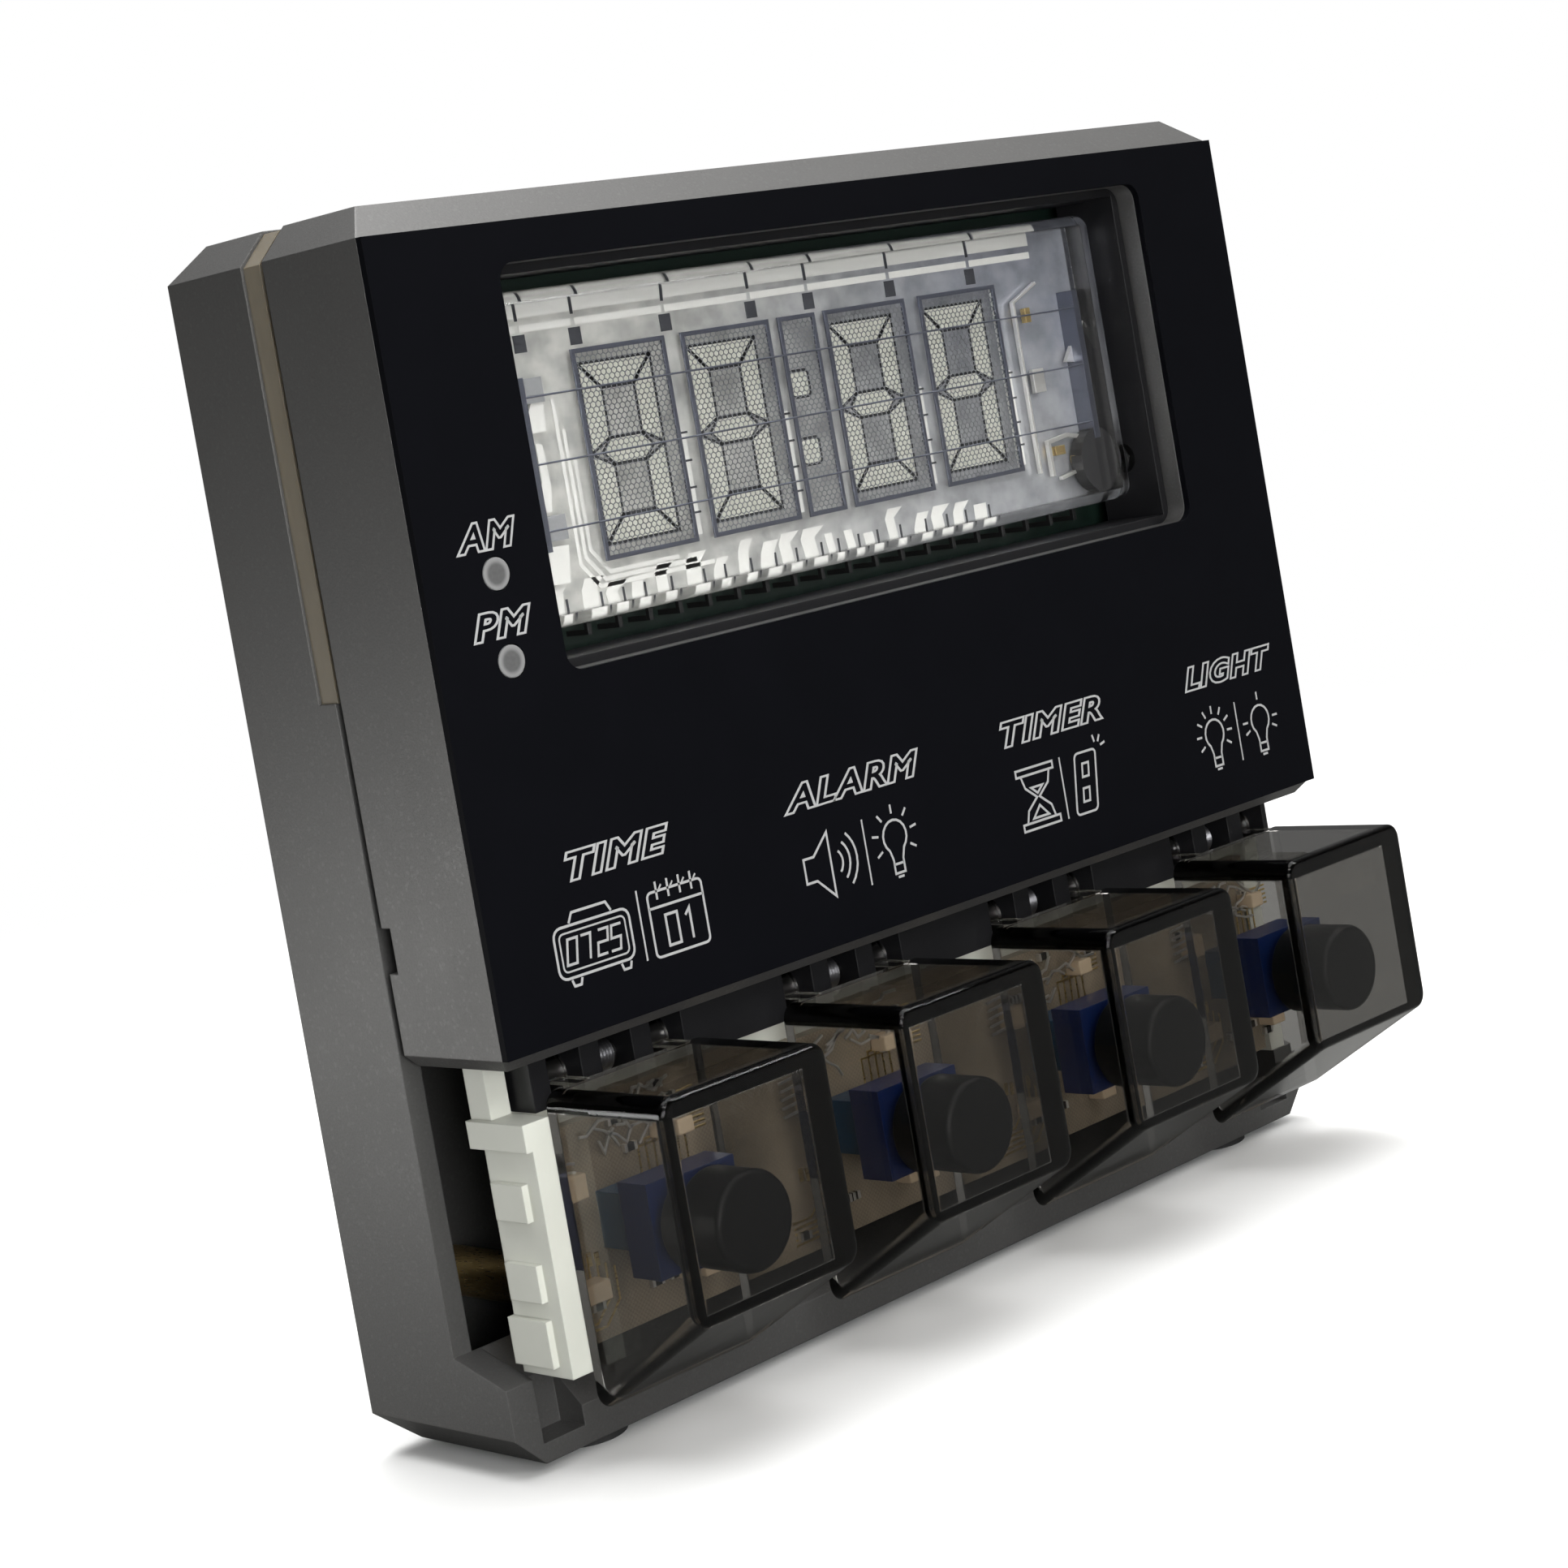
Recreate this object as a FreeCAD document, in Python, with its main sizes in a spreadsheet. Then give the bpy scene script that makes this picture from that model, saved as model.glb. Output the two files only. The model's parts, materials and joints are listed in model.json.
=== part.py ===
"""Desk clock: a flat glass display above four clear punch keys, in a two-shell aluminium case.

Frame, in millimetres: +X to the right as seen from the front, +Y towards the back, +Z up.
The origin is the middle of the footprint of the whole clock, on the surface it stands on.
"""
import FreeCAD, Part
import os

import Sketcher
from FreeCAD import Placement, Rotation, Vector

DIMENSIONS = {
    # Case: a front shell with a black panel, and a rear tray that reaches down to the table.
    "width": (120.0, "overall width"),
    "case_depth": (31.4, "black panel to rear wall"),
    "key_reach": (12.0, "how far the keys stand out of the black panel"),
    "foot_height": (1.0, "what the feet show below the tray"),
    "case_top": (117.3, "top of both shells above the table"),
    "edge_chamfer": (3.1, "45 degree chamfer along the long corners"),
    "wall": (2.2, "thickness of both shells"),
    "front_depth": (15.5, "black panel to the back edge of the front shell"),
    "panel_thickness": (0.8, "black front panel"),
    "panel_low": (40.1, "lower edge of the black panel"),
    "panel_lip": (1.3, "bevel of the front shell below the panel"),
    "bevel_depth": (3.4, "top bevel of the front shell, front to back"),
    "front_wall": (2.4, "wall behind the black panel"),
    "seam": (0.9, "dark line between the shells"),
    "pry_height": (4.3, "small notch in the seam for prying the shells apart"),
    "pry_low": (47.8, "lower edge of that notch"),
    "pry_width": (1.3, "notch, front to back"),
    "sill_front": (9.1, "front face of the tray's sill, behind the black panel"),
    "sill_rise": (3.7, "height of the sill's front face"),
    "cheek_rise": (7.9, "height of the side walls at the sill's front"),
    "flare_rise": (10.2, "height where the side walls reach their full depth"),
    "cheek_width": (3.2, "width of the side walls in front of the flare"),
    "sill_pocket": (5.0, "width of the dark recess at each end of the sill"),
    "seat": (0.1, "clearance between a shell and the frame inside it"),
    "rear_bevel": (3.0, "bevel along the top and bottom of the rear wall"),
    # Light strip between the shells.
    "strip_width": (2.6, "light strip, front to back"),
    "strip_thickness": (1.9, "light strip, outside to inside"),
    "strip_inset": (0.3, "light strip below the shell's surface"),
    "strip_low": (73.2, "lower end of the light strip"),
    "liner_thickness": (1.5, "black frame that joins the shells"),
    "liner_front": (12.5, "front of that frame behind the black panel"),
    # Window and display.
    "window_width": (91.4, "opening in the black panel"),
    "window_height": (37.8, "opening in the black panel"),
    "window_low": (72.6, "lower edge of the opening"),
    "window_centre": (0.3, "opening, right of the middle"),
    "window_corner": (1.8, "corner radius of the opening"),
    "bezel_ledge": (0.9, "step of the bezel inside the opening"),
    "bezel_thickness": (1.2, "bezel wall"),
    "bezel_depth": (8.2, "bezel, front to back"),
    "glass_width": (87.0, "display tube"),
    "glass_height": (32.0, "display tube"),
    "glass_low": (76.1, "lower edge of the display tube"),
    "glass_front": (5.4, "front of the glass behind the black panel"),
    "glass_depth": (4.2, "glass pan, front to back"),
    "glass_wall": (1.3, "glass pan wall"),
    "glass_round": (1.6, "rounding of the glass pan"),
    "substrate": (2.0, "rear glass plate"),
    "grid_height": (20.6, "mesh frame of a digit"),
    "grid_low": (81.3, "lower edge of the mesh frames"),
    "grid_width": (12.1, "mesh frame of a digit"),
    "colon_width": (5.3, "mesh frame of the colon"),
    "grid_pitch": (14.3, "digit to digit"),
    "grid_centre": (-1.6, "middle of the mesh frames, right of the middle"),
    "grid_rail": (0.45, "side bar of a mesh frame"),
    "grid_thickness": (0.25, "mesh frame"),
    "grid_gap": (0.9, "mesh frame in front of the rear plate"),
    "filament_radius": (0.1, "heater wire"),
    "filament_gap": (2.2, "heater wires in front of the rear plate"),
    "filament_pitch": (6.4, "heater wire to heater wire"),
    "tip_radius": (1.7, "evacuation tip at the tube's right end"),
    "tip_length": (1.1, "evacuation tip"),
    "pin_pitch": (4.0, "lead to lead"),
    "pin_size": (0.5, "lead thickness"),
    "pin_drop": (1.5, "leads below the tube"),
    # Main board behind the display.
    "board_width": (108.0, "main board"),
    "board_low": (45.0, "lower edge of the main board"),
    "board_top": (112.4, "upper edge of the main board"),
    "board_front": (13.6, "main board behind the black panel"),
    "board_thickness": (1.6, "all circuit boards"),
    "post_radius": (2.4, "brass posts"),
    "post_inset": (5.0, "brass posts, in from the main board's edges"),
    "light_side": (51.7, "indicator lights, left of the middle"),
    "light_radius": (1.5, "indicator light"),
    "light_hole": (1.6, "hole for an indicator light"),
    "am_height": (82.8, "upper indicator light"),
    "pm_height": (74.8, "lower indicator light"),
    "led_side": (2.4, "small surface light source"),
    "led_height": (0.9, "small surface light source"),
    "controller_side": (10.0, "square controller chip"),
    "chip_height": (1.4, "both chips"),
    "driver_width": (18.0, "display driver chip"),
    "driver_depth": (7.6, "display driver chip"),
    "cell_radius": (10.0, "coin cell"),
    "cell_height": (3.2, "coin cell"),
    "holder_radius": (11.6, "coin cell holder"),
    "holder_height": (4.4, "coin cell holder"),
    "buzzer_radius": (6.0, "buzzer"),
    "buzzer_height": (7.5, "buzzer"),
    "coil_radius": (5.0, "supply coil"),
    "coil_height": (6.0, "supply coil"),
    "capacitor_radius": (4.0, "supply capacitor"),
    "capacitor_height": (9.0, "supply capacitor"),
    "crystal_width": (8.0, "clock crystal can"),
    "crystal_depth": (3.4, "clock crystal can"),
    # Keys on their hinge.
    "key_pitch": (30.4, "key to key"),
    "key_shift": (2.25, "middle of the key row, right of the middle"),
    "key_width": (20.5, "key cap"),
    "key_top": (35.3, "top of the key caps"),
    "key_front_low": (14.6, "lower edge of a key's front face"),
    "key_rear_low": (5.4, "lower rear corner of a key"),
    "key_rear": (4.1, "rear edge of the keys behind the black panel"),
    "key_wall": (2.2, "key cap wall"),
    "key_floor": (1.8, "key cap wall along the slanted underside"),
    "key_round": (1.6, "rounding of the key's front edges"),
    "plunger_gap": (0.6, "key's front wall to the plunger at rest"),
    "shaft_radius": (1.0, "hinge shaft"),
    "shaft_back": (9.0, "hinge shaft behind the black panel"),
    "shaft_height": (35.7, "hinge shaft above the table"),
    "knuckle_radius": (1.9, "knuckle on the key's arm"),
    "knuckle_width": (3.0, "arm and knuckle"),
    "knuckle_side": (6.4, "arm, from the key's middle"),
    "arm_thickness": (1.3, "arm, top to bottom"),
    "running_gap": (0.05, "knuckle bore around the shaft"),
    "slot_gap": (0.5, "rail slot beside an arm"),
    "rail_front": (5.4, "hinge rail behind the black panel"),
    "rail_back": (12.6, "rear of the hinge rail"),
    "rail_low": (33.4, "lower edge of the hinge rail"),
    "rail_width": (110.9, "hinge rail"),
    "rail_shift": (1.55, "middle of the hinge rail, right of the middle"),
    "shaft_length": (109.9, "hinge shaft"),
    "spring_radius": (1.45, "return spring's coil"),
    "spring_wire": (0.22, "return spring's wire radius"),
    "spring_pitch": (0.4, "return spring, turn to turn"),
    "leg_wire": (0.17, "radius of the return spring's legs"),
    "spring_leg": (2.2, "return spring's upright leg"),
    "spring_reach": (4.6, "return spring's leg that bears on the key"),
    # Switches, one behind each key.
    "plunger_radius": (4.7, "round black plunger"),
    "plunger_length": (5.5, "round black plunger"),
    "plunger_height": (21.2, "middle of the plungers above the table"),
    "plunger_stem": (2.0, "plunger's stem radius"),
    "plunger_travel": (1.4, "plunger to switch body at rest"),
    "stem_length": (4.0, "plunger's stem"),
    "switch_side": (9.0, "square blue switch body"),
    "switch_depth": (4.0, "blue switch body, front to back"),
    "switch_foot": (5.4, "lighter blue foot of the switch"),
    "key_board_front": (7.4, "key board behind the black panel"),
    "key_board_low": (10.2, "key board"),
    "key_board_top": (30.8, "key board"),
    "key_board_width": (107.2, "key board"),
    # White bracket that carries the key board.
    "bracket_width": (113.6, "white bracket"),
    "bracket_column": (2.4, "end column"),
    "bracket_front": (3.0, "front edge of the left column"),
    "bracket_back": (12.4, "rear face of the beams"),
    "column_back": (10.2, "rear edge of the end columns"),
    "bracket_low": (9.6, "lower edge of the bracket"),
    "bracket_flange": (2.6, "flange on top of the left column"),
    "flange_back": (11.4, "rear end of the flange"),
    "ear_front": (8.4, "ear above the flange, under the front shell"),
    "ear_gap": (0.3, "ear to the front shell"),
    "beam_high": (3.0, "beams between the columns"),
    "beam_low": (13.5, "lower beam above the table"),
    "block_front": (4.7, "raised blocks behind the black panel"),
    "block_wide": (4.6, "raised block on the left column"),
    "block_high": (3.5, "raised block on the left column"),
    "block_raise": (0.7, "raised block on the left column"),
    "block_upper": (24.2, "upper raised block above the table"),
    "block_lower": (16.7, "lower raised block above the table"),
    "toe_high": (4.4, "foot of the left column"),
    "toe_low": (10.6, "foot of the left column above the table"),
    # Rear wall, power inlet, fixings.
    "inlet_height": (14.0, "power inlet above the table"),
    "inlet_width": (9.0, "power inlet shell"),
    "inlet_tall": (3.3, "power inlet shell"),
    "inlet_depth": (7.4, "power inlet shell"),
    "inlet_wall": (0.35, "power inlet shell"),
    "tongue_width": (6.7, "contact tongue of the inlet"),
    "tongue_thick": (0.7, "contact tongue of the inlet"),
    "tongue_depth": (5.6, "contact tongue of the inlet"),
    "power_board_width": (26.0, "small board under the inlet"),
    "power_board_depth": (11.0, "small board under the inlet"),
    "sound_hole": (0.9, "radius of a sound hole"),
    "sound_ring": (3.4, "radius of the ring of sound holes"),
    "screw_low": (15.0, "lower rear screws and posts"),
    "screw_radius": (2.6, "rear screw head"),
    "screw_head": (1.4, "rear screw head"),
    "screw_shank": (1.2, "rear screw shank"),
    "screw_socket": (2.6, "hexagon socket of a rear screw, corner to corner"),
    "socket_depth": (0.8, "hexagon socket of a rear screw"),
    "screw_gap": (0.15, "clearance around a screw"),
    "foot_radius": (4.0, "rubber foot"),
    "foot_side": (48.0, "feet from the middle"),
    "foot_front": (14.2, "front feet behind the black panel"),
    "foot_back": (24.0, "rear feet behind the black panel"),
    "foot_recess": (0.6, "foot pocket in the tray"),
    "ribbon_width": (12.0, "ribbon between the boards"),
    "ribbon_thick": (0.3, "ribbon between the boards"),
    "ribbon_side": (30.0, "ribbon, left of the middle"),
    "ribbon_back": (19.8, "ribbon behind the black panel"),
    "ribbon_low": (22.0, "ribbon on the key board"),
    "ribbon_high": (50.0, "ribbon on the main board"),
}

KEY_NAMES = ("time", "alarm", "timer", "light")
SOUND_HOLES = 6
SPRING_TURNS = 7

doc = FreeCAD.newDocument("desk_clock")
dims = doc.addObject("Spreadsheet::Sheet", "dims")
for row, (alias, (number, note)) in enumerate(DIMENSIONS.items(), start=1):
    dims.set(f"A{row}", note)
    dims.set(f"B{row}", str(number))
    dims.setAlias(f"B{row}", alias)
doc.recompute()


# Places that several pieces share, as expressions on the sheet.
FACE = "((dims.key_reach - dims.case_depth) / 2)"
REAR = f"({FACE} + dims.case_depth)"
REAR_INSIDE = f"({REAR} - dims.wall)"
HALF = "(dims.width / 2)"
SHELL_LOW = "(dims.panel_low - dims.panel_lip)"
PANEL_TOP = "(dims.case_top - dims.edge_chamfer)"
SKIN_BACK = f"({FACE} + dims.panel_thickness)"
INNER_FRONT = f"({SKIN_BACK} + dims.front_wall)"
SHELL_BACK = f"({FACE} + dims.front_depth)"
TRAY_FRONT = f"({SHELL_BACK} + dims.seam)"
STRIP_BACK = f"({TRAY_FRONT} + dims.strip_width)"
SILL_FRONT = f"({FACE} + dims.sill_front)"
CHEEK = f"({HALF} - dims.cheek_width)"
WINDOW_TOP = "(dims.window_low + dims.window_height)"
SUBSTRATE = f"({FACE} + dims.glass_front + dims.glass_depth)"
BOARD_FRONT = f"({FACE} + dims.board_front)"
BOARD_BACK = f"({BOARD_FRONT} + dims.board_thickness)"
SHAFT_Y = f"({FACE} + dims.shaft_back)"
KEY_FRONT = f"({FACE} - dims.key_reach)"
PLUNGER_FRONT = f"({KEY_FRONT} + dims.key_wall + dims.plunger_gap)"
PLUNGER_BACK = f"({PLUNGER_FRONT} + dims.plunger_length)"
SWITCH_FRONT = f"({PLUNGER_BACK} + dims.plunger_travel)"
SWITCH_BACK = f"({SWITCH_FRONT} + dims.switch_depth)"
KEY_BOARD_FRONT = f"({FACE} + dims.key_board_front)"
KEY_BOARD_BACK = f"({KEY_BOARD_FRONT} + dims.board_thickness)"
BRACKET_BACK = f"({FACE} + dims.bracket_back)"
POST_SIDE = "(dims.board_width / 2 - dims.post_inset)"
POST_LOW = "(dims.board_low + dims.post_inset)"
POST_HIGH = "(dims.board_top - dims.post_inset)"
POSTS = [("low_left", -1, POST_LOW), ("low_right", 1, POST_LOW),
         ("high_left", -1, POST_HIGH), ("high_right", 1, POST_HIGH)]
# Middles of what stands on the back of the main board: right of the middle, above the table.
CONTROLLER_SPOT = (-10, 60)
DRIVER_SPOT = (-10, 84)
CRYSTAL_SPOT = (8, 56)
COIL_SPOT = (-40, 66)
CAPACITOR_SPOT = (-38, 88)
CELL_SPOT = (28, 92)
BUZZER_SPOT = (32, 62)

# A 45 degree corner's leg shrinks by this share of an inset.
CORNER_SHARE = 2 - 2 ** 0.5
# How far a cutting shape runs past the face that it opens.
PAST = 1.0
ALONG_X = Rotation(Vector(0, 1, 0), 90)
ALONG_Y = Rotation(Vector(1, 0, 0), -90)
UPRIGHT = Rotation()

parts = {}


def value(expression):
    """The number that an expression on the sheet gives now."""
    result = dims.evalExpression(str(expression))
    return float(getattr(result, "Value", result))


def minus(expression):
    """The same distance on the other side."""
    return f"(-({expression}))"


def keep(name, solid):
    """Make a solid one of the clock's sub-parts."""
    solid.Label = name
    parts[name] = solid
    return solid


def place(solid, position, rotation=UPRIGHT):
    """Put a solid's own origin at a position that follows the sheet."""
    solid.Placement = Placement(Vector(), rotation)
    for axis, expression in zip("xyz", position):
        solid.setExpression(f"Placement.Base.{axis}", str(expression))


def box(name, low, high):
    """A block between two corners."""
    solid = doc.addObject("Part::Box", name)
    for side, first, last in zip(("Length", "Width", "Height"), low, high):
        solid.setExpression(side, f"({last}) - ({first})")
    place(solid, low)
    return solid


def rod(name, start, radius, length, rotation=ALONG_Y):
    """A round bar from its start point along one axis."""
    solid = doc.addObject("Part::Cylinder", name)
    solid.setExpression("Radius", str(radius))
    solid.setExpression("Height", str(length))
    place(solid, start, rotation)
    return solid


def cut(name, base, tool):
    """A base with a tool's shape taken out."""
    result = doc.addObject("Part::Cut", name)
    result.Base = base
    result.Tool = tool
    return result


def group(name, members):
    """Several like pieces that are kept together."""
    result = doc.addObject("Part::Compound", name)
    result.Links = members
    return result


def sketch(owner, name, plane, offset):
    """An empty sketch parallel to one of the body's origin planes."""
    drawing = owner.newObject("Sketcher::SketchObject", name)
    support = next(item for item in owner.Origin.OriginFeatures if item.Role == plane)
    drawing.AttachmentSupport = (support, "")
    drawing.MapMode = "FlatFace"
    drawing.setExpression("AttachmentOffset.Base.z", str(offset))
    return drawing


def pin_point(drawing, index, point, spot):
    """Hold one point of a sketch at a spot that follows the sheet."""
    for kind, expression in zip(("DistanceX", "DistanceY"), spot):
        rule = Sketcher.Constraint(kind, -1, 1, index, point, value(expression))
        place_in_list = drawing.addConstraint(rule)
        drawing.setExpression(f"Constraints[{place_in_list}]", str(expression))


def polygon(owner, name, plane, offset, corners):
    """A closed outline of straight lines."""
    drawing = sketch(owner, name, plane, offset)
    points = [Vector(value(first), value(second), 0) for first, second in corners]
    following = points[1:] + points[:1]
    for start, end in zip(points, following):
        drawing.addGeometry(Part.LineSegment(start, end))
    for index in range(len(points)):
        drawing.addConstraint(Sketcher.Constraint("Coincident", index, 2, (index + 1) % len(points), 1))
    for index, corner in enumerate(corners):
        pin_point(drawing, index, 1, corner)
    return drawing


def circles(owner, name, plane, offset, centres, radius):
    """Equal circles in one sketch."""
    drawing = sketch(owner, name, plane, offset)
    for index, centre in enumerate(centres):
        middle = Vector(value(centre[0]), value(centre[1]), 0)
        drawing.addGeometry(Part.Circle(middle, Vector(0, 0, 1), value(radius)))
        pin_point(drawing, index, 3, centre)
        place_in_list = drawing.addConstraint(Sketcher.Constraint("Radius", index, value(radius)))
        drawing.setExpression(f"Constraints[{place_in_list}]", str(radius))
    return drawing


def rectangle(low, high):
    """Corners of an upright rectangle in a sketch."""
    return [low, (high[0], low[1]), high, (low[0], high[1])]


def extrude(owner, kind, name, drawing, length, backwards=False, both_ways=False):
    """A pad or pocket of a sketch."""
    feature = owner.newObject(f"PartDesign::{kind}", name)
    feature.Profile = drawing
    feature.setExpression("Length", str(length))
    feature.Reversed = backwards
    feature.Midplane = both_ways
    return feature


def pad_back(owner, name, corners, start, end):
    """Material from one depth to another, seen from the front."""
    drawing = polygon(owner, f"{name}_outline", "XZ_Plane", minus(start), corners)
    return extrude(owner, "Pad", name, drawing, f"({end}) - ({start})", backwards=True)


def cut_back(owner, name, corners, start, end):
    """An opening from one depth to another, seen from the front."""
    drawing = polygon(owner, f"{name}_outline", "XZ_Plane", minus(start), corners)
    return extrude(owner, "Pocket", name, drawing, f"({end}) - ({start})")


def drill_back(owner, name, centres, radius, start, end):
    """Round holes from one depth to another, seen from the front."""
    drawing = circles(owner, f"{name}_circles", "XZ_Plane", minus(start), centres, radius)
    return extrude(owner, "Pocket", name, drawing, f"({end}) - ({start})")


def across(owner, kind, name, corners, width, centre=0):
    """A pad or pocket across the width, from an outline seen from the side."""
    drawing = polygon(owner, f"{name}_outline", "YZ_Plane", centre, corners)
    return extrude(owner, kind, name, drawing, width, both_ways=True)


def round_edges(owner, name, radius, wanted):
    """Fillet the edges of the body's last feature that a test picks."""
    doc.recompute()
    base = owner.Tip
    edges = [f"Edge{number}" for number, edge in enumerate(base.Shape.Edges, start=1) if wanted(edge)]
    feature = owner.newObject("PartDesign::Fillet", name)
    feature.Base = (base, edges)
    feature.setExpression("Radius", str(radius))
    return feature


def shell_outline(inset, low, low_leg="0"):
    """Front view of a case shell: 45 degree corners on top, and at the bottom if low_leg is given."""
    leg = f"(dims.edge_chamfer - {CORNER_SHARE:.6f} * ({inset}))"
    side = f"({HALF} - ({inset}))"
    top = f"(dims.case_top - ({inset}))"
    right = [(side, f"{low} + {low_leg}"), (side, f"{top} - {leg}"), (f"{side} - {leg}", top)]
    if low_leg != "0":
        right.insert(0, (f"{side} - {low_leg}", low))
    left = [(minus(first), second) for first, second in reversed(right)]
    return right + left


def window_outline(grow):
    """The display opening, larger or smaller on every side."""
    half = f"(dims.window_width / 2 + {grow})"
    low = (f"dims.window_centre - {half}", f"dims.window_low - ({grow})")
    high = (f"dims.window_centre + {half}", f"{WINDOW_TOP} + ({grow})")
    return rectangle(low, high)


def is_window_corner(edge):
    """True for the four edges that run back through the display opening's corners."""
    bounds = edge.BoundBox
    at_side = abs(abs(bounds.XMin - value("dims.window_centre")) - value("dims.window_width / 2")) < 0.01
    at_end = min(abs(bounds.ZMin - value("dims.window_low")), abs(bounds.ZMin - value(WINDOW_TOP))) < 0.01
    return at_side and at_end and bounds.XLength < 0.01 and bounds.ZLength < 0.01


def indicator_spots():
    """Middles of the two indicator lights."""
    return [(minus("dims.light_side"), "dims.am_height"), (minus("dims.light_side"), "dims.pm_height")]


def front_housing():
    """The front shell: an open-backed aluminium box behind the black panel."""
    body = doc.addObject("PartDesign::Body", "front_housing")
    outline = shell_outline("0", SHELL_LOW, "dims.panel_lip")
    pad_back(body, "front_block", outline, SKIN_BACK, SHELL_BACK)
    hollow = shell_outline("dims.wall", f"({SHELL_LOW} + dims.wall)")
    cut_back(body, "front_hollow", hollow, INNER_FRONT, f"{SHELL_BACK} + {PAST}")
    bevel = [(SKIN_BACK, PANEL_TOP), (f"{SKIN_BACK} + dims.bevel_depth", "dims.case_top"),
             (f"{SKIN_BACK} + dims.bevel_depth", f"dims.case_top + {PAST}"),
             (f"{SKIN_BACK} - {PAST}", f"dims.case_top + {PAST}"), (f"{SKIN_BACK} - {PAST}", PANEL_TOP)]
    across(body, "Pocket", "front_top_bevel", bevel, f"dims.width + {PAST}")
    lip = [(SKIN_BACK, "dims.panel_low"), (f"{SKIN_BACK} + dims.panel_lip", SHELL_LOW),
           (f"{SKIN_BACK} + dims.panel_lip", f"{SHELL_LOW} - {PAST}"),
           (f"{SKIN_BACK} - {PAST}", f"{SHELL_LOW} - {PAST}"), (f"{SKIN_BACK} - {PAST}", "dims.panel_low")]
    across(body, "Pocket", "front_low_bevel", lip, f"dims.width + {PAST}")
    cut_back(body, "front_window", window_outline("0"), f"{SKIN_BACK} - {PAST}", f"{INNER_FRONT} + {PAST}")
    round_edges(body, "front_window_corners", "dims.window_corner", is_window_corner)
    drill_back(body, "front_lights", indicator_spots(), "dims.light_hole",
               f"{SKIN_BACK} - {PAST}", f"{INNER_FRONT} + {PAST}")
    notch = rectangle((f"{HALF} - dims.wall - {PAST}", "dims.pry_low"),
                      (f"{HALF} + {PAST}", "dims.pry_low + dims.pry_height"))
    mirrored = [(minus(first), second) for first, second in notch]
    for side, corners in (("right", notch), ("left", mirrored)):
        cut_back(body, f"pry_notch_{side}", corners,
                 f"{SHELL_BACK} - dims.pry_width", f"{SHELL_BACK} + {PAST}")
    return keep("front_housing", body)


def front_panel():
    """The flat black panel that covers the whole front of the front shell."""
    body = doc.addObject("PartDesign::Body", "front_panel")
    outline = rectangle((minus(HALF), "dims.panel_low"), (HALF, PANEL_TOP))
    pad_back(body, "panel_plate", outline, FACE, SKIN_BACK)
    cut_back(body, "panel_window", window_outline("0"), f"{FACE} - {PAST}", f"{SKIN_BACK} + {PAST}")
    round_edges(body, "panel_window_corners", "dims.window_corner", is_window_corner)
    drill_back(body, "panel_lights", indicator_spots(), "dims.light_hole",
               f"{FACE} - {PAST}", f"{SKIN_BACK} + {PAST}")
    return keep("front_panel", body)


def display_bezel():
    """Black tube behind the window that hides what stands around the glass."""
    body = doc.addObject("PartDesign::Body", "display_bezel")
    back = f"({INNER_FRONT} + dims.bezel_depth)"
    pad_back(body, "bezel_block", window_outline("dims.bezel_thickness"), INNER_FRONT, back)
    cut_back(body, "bezel_opening", window_outline("-dims.bezel_ledge"),
             f"{INNER_FRONT} - {PAST}", f"{back} + {PAST}")
    return keep("display_bezel", body)


def glass_corners(inset):
    """Front view of the display tube, smaller on every side."""
    half = f"(dims.glass_width / 2 - {inset})"
    low = (f"dims.window_centre - {half}", f"dims.glass_low + {inset}")
    high = (f"dims.window_centre + {half}", f"dims.glass_low + dims.glass_height - {inset}")
    return rectangle(low, high)


def display_tube():
    """The vacuum tube: a glass pan in front, a glass plate behind, and what stands between them."""
    pan = doc.addObject("PartDesign::Body", "display_glass")
    pan_front = f"({FACE} + dims.glass_front)"
    pad_back(pan, "glass_block", glass_corners("0"), pan_front, SUBSTRATE)
    round_edges(pan, "glass_rounding", "dims.glass_round",
                lambda edge: edge.BoundBox.YMax < value(SUBSTRATE) - 0.01 or edge.BoundBox.YLength > PAST)
    cut_back(pan, "glass_hollow", glass_corners("dims.glass_wall"),
             f"{pan_front} + dims.glass_wall", f"{SUBSTRATE} + {PAST}")
    keep("display_glass", pan)

    half = "dims.glass_width / 2"
    top = "dims.glass_low + dims.glass_height"
    plate = box("display_plate", (f"dims.window_centre - {half}", SUBSTRATE, "dims.glass_low"),
                (f"dims.window_centre + {half}", f"{SUBSTRATE} + dims.substrate", top))
    keep("display_plate", plate)

    tip = rod("display_tip", (f"dims.window_centre + {half}", f"{SUBSTRATE} - dims.glass_depth / 2",
                              "dims.glass_low + 2.5 * dims.tip_radius"),
              "dims.tip_radius", "dims.tip_length", ALONG_X)
    keep("display_tip", tip)


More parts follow.
